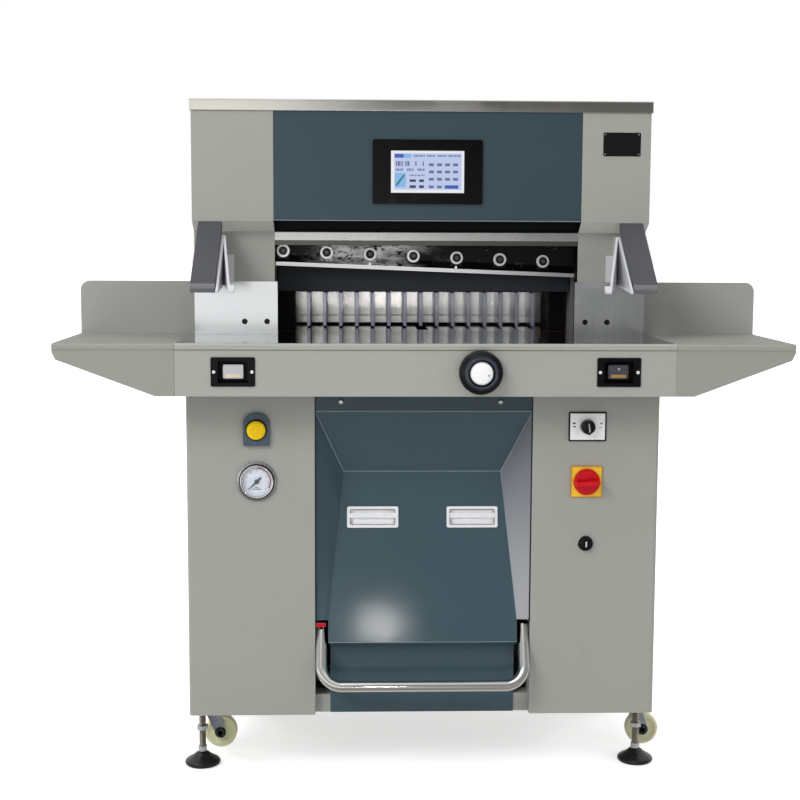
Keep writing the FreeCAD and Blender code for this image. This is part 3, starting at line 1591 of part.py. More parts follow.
def stop_button_parts():
    """Arched guard with a round opening, and the mushroom button in it."""
    shroud = Piece("button_shroud")
    x, z = -d.left_controls, d.stop_button_z
    shroud.pad("xz", control_face - 8, control_face, rounded(x - 26.5, x + 26.5, z - 33, z + 8, 3))
    shroud.pad("xz", control_face - 8, control_face, disc(x, z + 4, 60))
    shroud.pocket("xz", control_face - 8, control_face,
                  rectangle(x - 40, x - 26.5, z - 40, z + 50), rectangle(x + 26.5, x + 40, z - 40, z + 50))
    shroud.pocket("xz", control_face - 8, control_face - 2, disc(x, z, 43))
    shroud.pad("xz", control_face - 4, control_face + 40, disc(x, z, 22))
    shroud.pocket("xz", control_face - 8, control_face + 36, disc(x, z, 14 + 2 * d.running_gap))
    finish(shroud)
    button = Piece("stop_button")
    button.turned("xy", "V_Axis", (x, control_face, z),
                  polygon((0, -24), (12, -23), (17, -20), (19, -16), (19, -11), (7, -11), (7, 26), (0, 26)))
    finish(button)


def pressure_gauge_parts():
    """Dial gauge: a flanged case, a lens, and the needle between them."""
    x, z = -d.left_controls, d.gauge_z
    case = Piece("gauge_case")
    case.turned("xy", "V_Axis", (x, control_face, z),
                polygon((0, 22), (31, 22), (31, 0), (41, 0), (41, -2), (36, -3), (35, -9), (31, -9),
                        (31, -1), (2.5, -1), (2.5, 16), (0, 16)))
    lens = Piece("gauge_lens")
    lens.pad("xz", control_face - 8, control_face - 6.5, disc(x, z, 62))
    group("pressure_gauge", [case, lens])
    needle = Piece("gauge_needle")
    needle.pad("xz", control_face - 4, control_face - 3,
               polygon((-2.2, -12), (2.2, -12), (0.5, 24), (-0.5, 24)))
    needle.pad("xz", control_face - 4.5, control_face - 2.5, disc(0, 0, 9))
    needle.pad("xz", control_face - 3, control_face + 12, disc(0, 0, 5 - 2 * d.running_gap))
    needle.place(x, 0, z, Vector(0, -1, 0), d.needle_rest)
    finish(needle)


def switch_parts():
    """Selector, main switch and key lock: plates on the right column and the knobs that turn in them."""
    x = d.right_controls
    plates = []
    selector = Piece("selector_plate")
    z = d.selector_z
    selector.pad("xz", control_face - 3, control_face, rounded(x - 38.5, x + 38.5, z - 30, z + 30, 2))
    selector.pad("xz", control_face, control_face + 34, disc(x, z, 22))
    selector.pocket("xz", control_face - 3, control_face + 30, disc(x, z, d.knob_shaft + 2 * d.running_gap))
    plates.append(selector)
    knob = Piece("selector_knob")
    knob.turned("xy", "V_Axis", (x, control_face, z),
                polygon((0, -20), (8, -20), (13.5, -18), (15.5, -4), (6, -4), (6, 26), (0, 26)))
    knob.pad("xz", control_face - 26, control_face - 10, rounded(x - 3, x + 3, z - 14, z + 14, 2.9))
    finish(knob)
    z = d.main_switch_z
    plate = Piece("main_switch_plate")
    plate.pad("xz", control_face - 4, control_face, rounded(x - 32, x + 32, z - 32, z + 32, 2))
    plate.pad("xz", control_face, control_face + 50, rectangle(x - 22, x + 22, z - 22, z + 22))
    plate.pocket("xz", control_face - 4, control_face + 30, disc(x, z, d.knob_shaft + 2 * d.running_gap))
    plates.append(plate)
    handle = Piece("main_switch_knob")
    handle.turned("xy", "V_Axis", (x, control_face, z),
                  polygon((0, -14), (24, -14), (26.5, -12), (27.5, -5), (6, -5), (6, 26), (0, 26)))
    handle.pad("xz", control_face - 30, control_face - 13, rounded(x - 25, x + 25, z - 6, z + 6, 5.9))
    finish(handle)
    z = d.lock_z
    bezel = Piece("lock_bezel")
    bezel.turned("xy", "V_Axis", (x, control_face, z),
                 polygon((9.2, -6), (15, -6), (16.5, -4), (16.5, 0), (11, 0), (11, 30), (9.2, 30)))
    plates.append(bezel)
    lock = Piece("lock_knob")
    lock.pad("xz", control_face - 7, control_face + 28, disc(x, z, 18.4 - 2 * d.running_gap))
    lock.pad("xz", control_face - 14, control_face - 7, rounded(x - 2.5, x + 2.5, z - 8, z + 8, 2.4))
    finish(lock)
    group("switch_plates", plates)


def cut_buttons():
    """Two sunk button pans in the apron and the push plates of the two-hand cut release."""
    pans = []
    z = d.apron_controls_z
    face = apron_face_y
    for word, side in (("left", -1), ("right", 1)):
        x = side * d.cut_button_x
        half_w, half_h = d.bezel_width / 2, d.bezel_height / 2
        pan = Piece(word + "_button_pan")
        front = face - d.pan_flange
        floor = face + d.bezel_depth - 3
        well_w, well_h = half_w - 12, half_h - 5
        pan.pad("xz", front, face, rounded(x - half_w, x + half_w, z - half_h, z + half_h, 3))
        pan.pad("xz", face, face + d.bezel_depth,
                rectangle(x - well_w, x + well_w, z - well_h, z + well_h))
        well_w, well_h = well_w - d.pan_wall, well_h - d.pan_wall
        pan.pocket("xz", front, floor, rectangle(x - well_w, x + well_w, z - well_h, z + well_h))
        pan.pocket("xz", floor, face + d.bezel_depth, disc(x, z, d.push_stem + 2 * d.running_gap))
        pan.pad("xz", front - 1.2, front, disc(x - half_w + d.pan_screw, z, d.pan_screw),
                disc(x + half_w - d.pan_screw, z, d.pan_screw))
        pans.append(pan)
        button = Piece(word + "_cut_button")
        plate = face + d.push_start
        button.pad("xz", plate, plate + d.push_plate,
                   rounded(x - d.push_half_width, x + d.push_half_width,
                           z - d.push_half_height, z + d.push_half_height, 3))
        button.pad("xz", plate + d.push_plate, face + d.bezel_depth + 8, disc(x, z, d.push_stem))
        finish(button)
    group("cut_button_pans", pans)


def handwheel_parts():
    """Hand knob for the back gauge: a deep rim with a white domed cap, on a shaft in the apron."""
    x, z = d.wheel_x, d.apron_controls_z
    rim = d.handwheel_diameter / 2
    wheel = Piece("wheel_rim")
    face = apron_face_y
    wheel.turned("xy", "V_Axis", (x, 0, z),
                 polygon((0, front_y + 8), (24, front_y + 8), (27, front_y + 2), (30, front_y + 2),
                         (34, front_y + 14), (rim - 2, front_y + 18), (rim, front_y + 22), (rim, face - 3),
                         (rim - 2, face - 1), (7, face - 1), (7, face + 46), (0, face + 46)))
    cap = Piece("wheel_cap")
    cap.turned("xy", "V_Axis", (x, 0, z),
               polygon((0, front_y), (14, front_y + 0.5), (20, front_y + 2.5), (22.5, front_y + 8),
                       (0, front_y + 8)))
    group("handwheel", [wheel, cap])


def pedal():
    """Bent chrome tube on two arms that turn on a shaft inside the cabinet."""
    half = d.pedal_half
    bar_y = cabinet_y - d.pedal_bar_reach
    top_y = cabinet_y + d.pedal_leg_setback
    rise = Vector(0, (top_y - bar_y).value, (d.pedal_leg_top - d.pedal_bar_z).value)
    up = Vector(rise).normalize()
    bend = d.pedal_bend.value
    left = Vector(-half.value, bar_y.value, d.pedal_bar_z.value)
    right = Vector(half.value, bar_y.value, d.pedal_bar_z.value)
    side_step = Vector(bend, 0, 0)
    quarter = bend * (1 - math.sqrt(0.5))
    edges = [Part.makeLine(left + rise, left + up * bend),
             Part.Arc(left + up * bend, left + up * quarter + Vector(quarter, 0, 0),
                      left + side_step).toShape(),
             Part.makeLine(left + side_step, right - side_step),
             Part.Arc(right - side_step, right + up * quarter - Vector(quarter, 0, 0),
                      right + up * bend).toShape(),
             Part.makeLine(right + up * bend, right + rise)]
    path = Part.Wire(edges)
    circle = Part.Circle(left + rise, up, (d.pedal_tube / 2).value)
    tube = path.makePipeShell([Part.Wire(circle.toShape())], True, True)
    shape = Part.Solid(tube) if tube.ShapeType == "Shell" else tube
    arm_width = d.pedal_arm.value
    for side in (-1, 1):
        x = side * half.value - arm_width / 2
        tip = left + rise
        hub = Vector(0, pivot_y.value, d.pedal_pivot_z.value)
        ring = [Vector(x, tip.y - 4, tip.z - 14), Vector(x, hub.y, hub.z - 16), Vector(x, hub.y + 14, hub.z),
                Vector(x, hub.y, hub.z + 16), Vector(x, tip.y - 4, tip.z + 6)]
        arm = Part.Face(Part.makePolygon(ring + ring[:1])).extrude(Vector(arm_width, 0, 0))
        shape = shape.fuse(arm)
    reach = half.value + 22
    shaft = Part.makeCylinder((d.pedal_shaft / 2).value, 2 * reach,
                              Vector(-reach, pivot_y.value, d.pedal_pivot_z.value), Vector(1, 0, 0))
    shape = shape.fuse(shaft).removeSplitter()
    pedal_object = doc.addObject("Part::Feature", "pedal")
    pedal_object.Shape = shape.Solids[0]
    pedal_object.Placement = Placement()
    return finish(pedal_object)


# Safety arms

def safety_arms():
    """Slanted arm covers on the cheeks, and the light metal brackets with the sensor strips below."""
    covers = []
    brackets = []
    plate_foot = d.table_height + d.guide_plate_height + d.part_gap
    for word, side, splay in (("left", -1, d.left_splay), ("right", 1, d.right_splay)):
        inner = side * d.arm_inner
        outer = side * (d.arm_inner + d.arm_width)
        low, high = sorted_pair(inner, outer, side)
        top = d.head_foot
        nose_y = head_y - d.arm_reach
        nose_z = top - d.arm_fall
        thick = d.arm_thickness
        cover = Piece(word + "_arm_cover")
        cover.pad("yz", low, high,
                  polygon((head_y, top), (nose_y, nose_z), (nose_y - 2, nose_z - 8),
                          (nose_y + 4, nose_z - d.arm_lip), (nose_y + 14, nose_z - d.arm_lip),
                          (nose_y + 18, nose_z - 2), (head_y, top - thick - 4)))
        cover.fillet(4, "x", (nose_y, nose_z), (nose_y + 4, nose_z - d.arm_lip),
                     (nose_y + 14, nose_z - d.arm_lip))
        covers.append(cover)
        bracket = Piece(word + "_arm_bracket")
        near = inner - side * 1
        far = near - side * d.bracket_leg
        root = cheek_y - d.bracket_root
        tip = nose_y - 9
        foot = nose_z - d.arm_lip
        low, high = sorted_pair(far, near, side)
        bracket.pad("xy", foot, d.cheek_top, rectangle(low, high, tip, cheek_y))
        bracket.pad("xy", foot, d.cheek_top,
                    polygon((near, root), (near - side * splay, tip), (far - side * splay, tip), (far, root)))
        bracket.pad("xy", foot, d.cheek_top,
                    polygon((near - side * splay, tip), (near - side * splay, tip + 16),
                            (far - side * (splay + d.bracket_tab), tip + 16),
                            (far - side * (splay + d.bracket_tab), tip)))
        low, high = sorted_pair(far - side * splay * 1.3 - side * 2 * d.bracket_tab, outer, side)
        bracket.pocket("yz", low, high,
                       polygon((tip - 1, d.cheek_top + 1), (tip - 1, nose_z - 14), (nose_y + 2, nose_z - 5),
                               (root - 14, d.cheek_top - 8), (cheek_y + 1, d.cheek_top - 8),
                               (cheek_y + 1, d.cheek_top + 1)))
        bracket.pocket("yz", low, high,
                       polygon((tip + 6, foot - 1), (tip + 12, foot + 1),
                               (cheek_y - d.guide_plate - 1, plate_foot), (cheek_y + 1, plate_foot),
                               (cheek_y + 1, foot - 1)))
        mount_low, mount_high = sorted_pair(outer - side * (d.arm_width + 21), outer - side * 21, side)
        bracket.pad("xz", cheek_y - d.bracket_plate, cheek_y,
                    rectangle(mount_low, mount_high, plate_foot, d.bracket_top))
        brackets.append(bracket)
    group("arm_covers", covers)
    group("arm_brackets", brackets)


# Build every piece

x_left = -d.left_controls
button_hole = d.button_hole + 2 * d.slide_gap
switch_half = d.switch_hole / 2
left_holes = [disc(x_left, d.stop_button_z, button_hole),
              disc(x_left, d.gauge_z, d.gauge_case + 2 * d.slide_gap)]
right_holes = [disc(d.right_controls, d.selector_z, button_hole),
               rectangle(d.right_controls - switch_half, d.right_controls + switch_half,
                         d.main_switch_z - switch_half, d.main_switch_z + switch_half),
               disc(d.right_controls, d.lock_z, button_hole)]

base_frame()
levelling_feet()
casters()
side_frame("left_side_frame", -1, throat_left,
           slanted_slot(left_start_x, left_start_z, left_end_x, pin_end_z, left_slot_angle))
side_frame("right_side_frame", 1, throat_right,
           slanted_slot(d.right_pin_x, pin_start_z, pin_end_x, pin_end_z, right_slot_angle))
gantry_crossbeam()
cutting_table()
cutting_stick()
rear_table()
front_apron()
side_tables()
column_shells(left_holes, right_holes)
rear_cabinet_cover()
knee_cover()
pull_handles()
cheek_covers()
guide_plates()
gantry_rear_cover()
rear_table_cover()
top_cover()
head_panel()
touch_screen()
deflector_bar()
knife_beam()
knife_blade()
blade_screws()
right_slide_block()
left_slide_block()
knife_rod()
hydraulic_cylinders()
clamp_beam()
clamp_yoke()
clamp_guide_posts()
back_gauge()
gauge_lead_screw()
gauge_motor()
hydraulic_tank()
pump_motor()
stop_button_parts()
pressure_gauge_parts()
switch_parts()
cut_buttons()
handwheel_parts()
pedal()
safety_arms()

doc.recompute()

for item in doc.Objects:
    if "Invalid" in item.State or "Error" in item.State:
        raise RuntimeError("%s is not built: %s" % (item.Label, item.State))

os.makedirs("parts", exist_ok=True)
for item in finished:
    if item.Shape.isNull() or not item.Shape.isValid():
        raise RuntimeError("%s has no valid shape" % item.Label)
    item.Shape.exportStep("parts/%s.step" % item.Label)
print("%d nodes, %d solids" % (len(finished), sum(len(item.Shape.Solids) for item in finished)))
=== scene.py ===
import json
import math

import bmesh
import bpy
from mathutils import Matrix, Vector

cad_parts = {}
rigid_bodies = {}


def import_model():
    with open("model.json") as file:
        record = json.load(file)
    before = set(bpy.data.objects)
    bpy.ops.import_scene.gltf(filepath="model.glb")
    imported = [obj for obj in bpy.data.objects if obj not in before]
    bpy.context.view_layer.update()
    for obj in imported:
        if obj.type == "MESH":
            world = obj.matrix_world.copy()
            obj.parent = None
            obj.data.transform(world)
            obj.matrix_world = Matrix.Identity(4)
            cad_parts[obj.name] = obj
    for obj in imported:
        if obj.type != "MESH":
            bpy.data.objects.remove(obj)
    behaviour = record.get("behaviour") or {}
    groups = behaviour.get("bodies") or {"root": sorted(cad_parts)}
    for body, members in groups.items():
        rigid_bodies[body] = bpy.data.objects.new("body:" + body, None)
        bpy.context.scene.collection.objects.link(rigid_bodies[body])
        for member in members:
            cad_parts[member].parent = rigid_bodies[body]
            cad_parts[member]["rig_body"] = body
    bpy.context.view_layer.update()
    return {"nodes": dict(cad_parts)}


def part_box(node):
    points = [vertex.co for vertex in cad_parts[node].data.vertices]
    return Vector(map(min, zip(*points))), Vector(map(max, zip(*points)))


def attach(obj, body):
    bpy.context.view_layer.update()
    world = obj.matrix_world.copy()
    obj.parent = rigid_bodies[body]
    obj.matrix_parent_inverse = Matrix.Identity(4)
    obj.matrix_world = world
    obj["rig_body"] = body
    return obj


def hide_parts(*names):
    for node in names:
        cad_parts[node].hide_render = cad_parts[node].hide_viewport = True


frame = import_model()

# Hydraulic paper cutter: finishes and fine shapes on the fixed frame. Shapes are built in millimetres.

MM = 0.001
nodes = frame["nodes"]


def box_of(node):
    """Lowest and highest corner of a frame node in millimetres, to a tenth."""
    return [Vector(round(part / MM, 1) for part in corner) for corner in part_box(node)]


def middle_of(node):
    """The middle of a frame node in millimetres, to a tenth."""
    low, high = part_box(node)
    return Vector(round(part / MM, 1) for part in (low + high) / 2)


def shade(red, green, blue):
    """A colour as it is seen on a screen, from 0 to 255 each, as linear light."""
    parts = [part / 255 for part in (red, green, blue)]
    return [p / 12.92 if p <= 0.04045 else ((p + 0.055) / 1.055) ** 2.4 for p in parts] + [1.0]


def toned(colour, factor):
    return [min(1.0, part * factor) for part in colour[:3]] + [1.0]


# Node trees

def maths(operation, swapped=False):
    """An operator of Wire that adds a Math node, swapped for its reflected form."""
    def method(self, other):
        first, second = (other, self) if swapped else (self, other)
        return self.tree.node("ShaderNodeMath", {"operation": operation}, {0: first, 1: second})
    return method


class Wire:
    """One output socket, with arithmetic that adds Math nodes."""

    __add__, __radd__ = maths("ADD"), maths("ADD", True)
    __sub__, __rsub__ = maths("SUBTRACT"), maths("SUBTRACT", True)
    __mul__, __rmul__ = maths("MULTIPLY"), maths("MULTIPLY", True)
    __truediv__, __rtruediv__ = maths("DIVIDE"), maths("DIVIDE", True)
    __gt__ = maths("GREATER_THAN")

    def __init__(self, tree, socket):
        self.tree = tree
        self.socket = socket

    def between(self, low, high):
        """A soft step: 0 below low and 1 above high."""
        return self.tree.node("ShaderNodeMapRange", {"interpolation_type": "SMOOTHSTEP"},
                              {"Value": self, "From Min": low, "From Max": high})


class Tree:
    """A node tree that is filled one node at a time."""

    def __init__(self, tree):
        self.tree = tree

    def node(self, kind, settings=None, sockets=None, out=0):
        node = self.tree.nodes.new(kind)
        for key, value in (settings or {}).items():
            if key == "stops":
                ramp = node.color_ramp.elements
                for index, (place, colour) in enumerate(value):
                    stop = ramp[index] if index < 2 else ramp.new(place)
                    stop.position = place
                    stop.color = colour
            else:
                setattr(node, key, value)
        self.fill(node, sockets or {})
        return Wire(self, node.outputs[out])

    def part(self, vector, axis=0):
        """One coordinate of a vector, 0 to 2 for X, Y or Z."""
        return self.node("ShaderNodeSeparateXYZ", {}, {0: vector}, out=axis)

    def rays(self, *kinds):
        """Masks that are 1 for rays of these kinds."""
        path = self.tree.nodes.new("ShaderNodeLightPath")
        return [Wire(self, path.outputs["Is %s Ray" % kind]) for kind in kinds]

    def fill(self, node, sockets):
        for key, value in sockets.items():
            if isinstance(value, Wire):
                self.tree.links.new(value.socket, node.inputs[key])
            else:
                node.inputs[key].default_value = value


class Finish(Tree):
    """A material: its tree, its shader and the patterns that feed it."""

    def __init__(self, name, constants=None):
        self.material = bpy.data.materials.new(name)
        self.material.use_nodes = True
        super().__init__(self.material.node_tree)
        self.shader = self.tree.nodes["Principled BSDF"]
        self.fill(self.shader, constants or {})
        self.place = self.node("ShaderNodeTexCoord", out="Object")

    def stretched(self, *scale):
        return self.node("ShaderNodeMapping", {}, {"Vector": self.place, "Scale": scale})

    def noise(self, scale, detail=2, place=None, rough=0.5):
        return self.node("ShaderNodeTexNoise", {},
                         {"Vector": place or self.place, "Scale": scale, "Detail": detail,
                          "Roughness": rough})

    def mix(self, share, low, high):
        return self.node("ShaderNodeMix", {"data_type": "RGBA"}, {0: share, 6: low, 7: high}, out=2)

    def height(self, axis):
        """A coordinate of the surface in metres, 0 to 2 for X, Y or Z."""
        return self.part(self.place, axis)

    def bump(self, height, depth, strength=1.0):
        return self.node("ShaderNodeBump", {}, {"Height": height, "Distance": depth, "Strength": strength})

    def done(self, **sockets):
        names = {key.replace("_", " ").title(): value for key, value in sockets.items()}
        self.fill(self.shader, names)
        return self.material


def paint(name, rgb, gloss=0.42, tone=1.0, peel=0.00006, grime=0.25, worn=0.0, shine=0.35):
    """Powder paint: faint clouds, orange peel, fine specks, dust low down, chips where it is worn."""
    colour = toned(shade(*rgb), tone)
    finish = Finish(name, {"Specular IOR Level": shine})
    cloud = finish.noise(2.6, 3)
    speck = finish.noise(1500, 1)
    base = finish.mix(cloud, toned(colour, 0.94), toned(colour, 1.05))
    base = finish.mix(speck.between(0.62, 0.8) * 0.35, base, toned(colour, 1.3))
    scuff = finish.noise(9, 6, rough=0.7).between(0.6, 0.8)
    low = 1 - finish.height(2).between(0.1, 0.5)
    dirt = scuff * (low * grime + 0.04)
    base = finish.mix(dirt, base, toned(colour, 0.55))
    if worn:
        chips = finish.noise(140, 4, rough=0.65).between(0.72 - worn * 0.2, 0.76 - worn * 0.2)
        base = finish.mix(chips * worn, base, shade(150, 150, 148))
    rough = gloss * (0.85 + 0.3 * cloud) + 0.25 * dirt
    grain = finish.noise(620, 2)
    return finish.done(base_color=base, roughness=rough, normal=finish.bump(grain, peel))


def brushed(name, rgb, rough, grain=(5, 600, 600), streak=0.12):
    """Steel with a straight grain, faint handling marks and a roughness that follows both."""
    colour = shade(*rgb)
    finish = Finish(name, {"Metallic": 1.0})
    lines = finish.noise(1.0, 3, finish.stretched(*grain), rough=0.6)
    smear = finish.noise(5, 4, rough=0.6)
    base = finish.mix(lines, toned(colour, 1 - streak), toned(colour, 1 + streak * 0.5))
    base = finish.mix(smear.between(0.5, 0.8) * 0.25, base, toned(colour, 0.85))
    rough = rough + 0.12 * (lines - 0.5) + 0.1 * smear.between(0.45, 0.75)
    return finish.done(base_color=base, roughness=rough, normal=finish.bump(lines, 0.00001))


def chrome():
    """Polished plate with finger marks and a few pits."""
    colour = shade(228, 228, 226)
    finish = Finish("bright_chrome", {"Metallic": 1.0})
    marks = finish.noise(28, 4, rough=0.65).between(0.5, 0.75)
    pits = finish.noise(900, 1).between(0.72, 0.8)
    base = finish.mix(marks * 0.3 + pits * 0.4, colour, toned(colour, 0.75))
    return finish.done(base_color=base, roughness=0.06 + 0.1 * marks,
                       normal=finish.bump(finish.noise(60, 2), 0.00002))


def moulded(name, rgb, rough=0.4, grain=0.00003, scale=1100, shine=0.25):
    """Moulded plastic or rubber: an even tone, a fine grain and slightly shinier rubbed places."""
    colour = shade(*rgb)
    finish = Finish(name, {"Specular IOR Level": shine})
    rubbed = finish.noise(40, 3).between(0.5, 0.75)
    base = finish.mix(rubbed * 0.5, colour, toned(colour, 1.25))
    return finish.done(base_color=base, roughness=rough - 0.1 * rubbed,
                       normal=finish.bump(finish.noise(scale, 1), grain))


def plated(name, rgb):
    """Zinc plate: cloudy spangles and a dull sheen."""
    colour = shade(*rgb)
    finish = Finish(name, {"Metallic": 1.0})
    spangle = finish.node("ShaderNodeTexVoronoi", {}, {"Vector": finish.place, "Scale": 260}, out="Color")
    tone = finish.part(spangle)
    base = finish.mix(tone, toned(colour, 0.8), toned(colour, 1.1))
    return finish.done(base_color=base, roughness=0.28 + 0.14 * tone,
                       normal=finish.bump(finish.noise(240, 3), 0.00002))


def cast():
    """Dull paint over rough sand casting."""
    colour = shade(120, 124, 122)
    finish = Finish("cast_frame")
    lumps = finish.noise(150, 4, rough=0.6)
    base = finish.mix(lumps, toned(colour, 0.8), toned(colour, 1.1))
    return finish.done(base_color=base, roughness=0.62 + 0.1 * lumps, normal=finish.bump(lumps, 0.0004))


def ground_table():
    """Ground and polished table: crossed grinding lines under a near mirror, duller where sheets slide."""
    finish = Finish("ground_table", {"Metallic": 1.0})
    lines = finish.noise(1.0, 3, finish.stretched(700, 5, 700), rough=0.6)
    cross = finish.noise(1.0, 2, finish.stretched(9, 500, 500))
    dull = finish.noise(3.5, 4, rough=0.6).between(0.4, 0.75)
    base = finish.mix(lines * 0.6 + cross * 0.2, shade(184, 186, 186), shade(210, 212, 212))
    base = finish.mix(dull * 0.3, base, shade(172, 173, 170))
    rough = 0.05 + 0.05 * lines + 0.06 * dull
    return finish.done(base_color=base, roughness=rough, normal=finish.bump(lines + cross, 0.000003))


def knife_black():
    """Oily black of the knife carrier, with long smears, and pale patches left of the middle that are a
    painted reflection.
    """
    finish = Finish("knife_black", {"Coat Roughness": 0.1, "Specular IOR Level": 0.15})
    smear = finish.noise(1.0, 4, finish.stretched(60, 60, 110), rough=0.7)
    cloud = finish.noise(1.0, 3, finish.stretched(10, 30, 24), rough=0.6)
    # Painted reflection: pale patches only left of the middle and below the carrier's top
    painted_highlight_zone = finish.height(0).between(-0.27, -0.14) * (1 - finish.height(0).between(-0.08, 0.08))
    painted_highlight_zone = painted_highlight_zone * (1 - finish.height(2).between(1.12, 1.145))
    smear_and_painted_highlight = painted_highlight_zone * cloud.between(0.3, 0.62) * smear.between(0.36, 0.5) + 0.16 * smear.between(0.62, 0.74)
    base = finish.mix(smear_and_painted_highlight, shade(10, 10, 11), shade(236, 236, 238))
    return finish.done(base_color=base, roughness=0.2 + 0.25 * smear, coat_weight=smear_and_painted_highlight,
                       metallic=0.3 * smear_and_painted_highlight, normal=finish.bump(smear, 0.0002, 0.4))


def clamp_black():
    """Black of the clamp, turning bluish grey towards its foot."""
    finish = Finish("clamp_black", {"Specular IOR Level": 0.1})
    smear = finish.noise(1.0, 3, finish.stretched(8, 40, 60), rough=0.6)
    rubbed = 1 - finish.height(2).between(1.018, 1.05)
    base = finish.mix(smear, shade(34, 36, 33), shade(46, 48, 45))
    base = finish.mix(rubbed * 0.6, base, shade(62, 66, 76))
    return finish.done(base_color=base, roughness=0.38 + 0.2 * smear,
                       normal=finish.bump(smear, 0.0001, 0.3))


def ground_bevel():
    """Freshly ground bevel of the knife, glowing from every side as painted light, the glow dimmer towards
    the right.
    """
    finish = Finish("ground_bevel", {"Specular IOR Level": 1.0, "Emission Strength": 0.5})
    lines = finish.noise(1.0, 2, finish.stretched(600, 8, 8))
    base = finish.mix(lines, shade(236, 237, 240), shade(252, 252, 252))
    # Painted light: the glow dims towards the right
    worn = finish.height(0).between(0.0, 0.34)
    return finish.done(base_color=base, roughness=0.5 + 0.1 * lines,
                       emission_color=finish.mix(worn, shade(250, 250, 250), shade(120, 122, 124)))


def seat_steel_painted_light():
    """Milled seats under the knife's screws, with painted light: bright at the left, dark at the right."""
    finish = Finish("seat_steel_painted_light", {"Metallic": 0.2})
    grit = finish.noise(420, 4, rough=0.7)
    base = finish.mix(finish.height(0).between(-0.1, 0.12), shade(214, 215, 218), shade(74, 75, 78))
    base = finish.mix(grit.between(0.5, 0.62), base, shade(40, 41, 43))
    return finish.done(base_color=base, roughness=0.4 + 0.2 * grit)


def painted_light_facet_paint():
    """The knee cover's right facet, with painted light: a lighter colour towards its foot, where it catches
    the light most strongly.
    """
    finish = Finish("slate_paint_facet_painted_light", {"Specular IOR Level": 0.35})
    cloud = finish.noise(14, 4, rough=0.6)
    painted_light_part = 1 - finish.height(2).between(0.38, 0.72)
    base = finish.mix(painted_light_part, shade(104, 110, 118), shade(168, 169, 172))
    base = finish.mix(cloud * 0.3, base, shade(150, 152, 158))
    return finish.done(base_color=base, roughness=0.3 + 0.1 * cloud, normal=finish.bump(cloud, 0.0001, 0.3))


def cream_nylon():
    finish = Finish("cream_nylon", {"Subsurface Weight": 0.25, "Subsurface Scale": 0.01})
    cloud = finish.noise(30, 3)
    base = finish.mix(cloud, shade(224, 224, 180), shade(242, 242, 206))
    return finish.done(base_color=base, roughness=0.36 + 0.12 * cloud,
                       normal=finish.bump(finish.noise(300, 2), 0.00003))


def lit(name, rgb):
    """A lit patch of the display, with a faint grid of picture elements."""
    colour = shade(*rgb)
    finish = Finish(name, {"Roughness": 0.12, "Base Color": shade(20, 22, 26), "Emission Strength": 0.85})
    dots = finish.noise(2600, 0)
    return finish.done(emission_color=finish.mix(dots, toned(colour, 0.94), toned(colour, 1.04)))


def clear_cover():
    """Clear plastic over the dial, faintly smeared."""
    finish = Finish("clear_cover", {"Base Color": shade(235, 238, 242), "Coat Weight": 0.5})
    smear = finish.noise(50, 3).between(0.55, 0.8)
    return finish.done(roughness=0.05 + 0.1 * smear, alpha=0.06 + 0.05 * smear)


# Colours as they are seen on a screen, from 0 to 255
LIGHT_GREY, APRON_GREY = (164, 165, 158), (168, 169, 162)
SLATE, KNEE_SLATE = (54, 72, 80), (68, 87, 96)

# How deep the grain of smooth plastic is, in metres
SMOOTH = 0.00001

# How fine the grain of steel is along X, Y and Z: lines that stand or lie, or no direction
UPRIGHT, LEVEL = (500, 500, 6), (4, 400, 400)
EVEN, FINE_EVEN, COARSE_EVEN = (160, 160, 160), (200, 200, 200), (120, 120, 120)

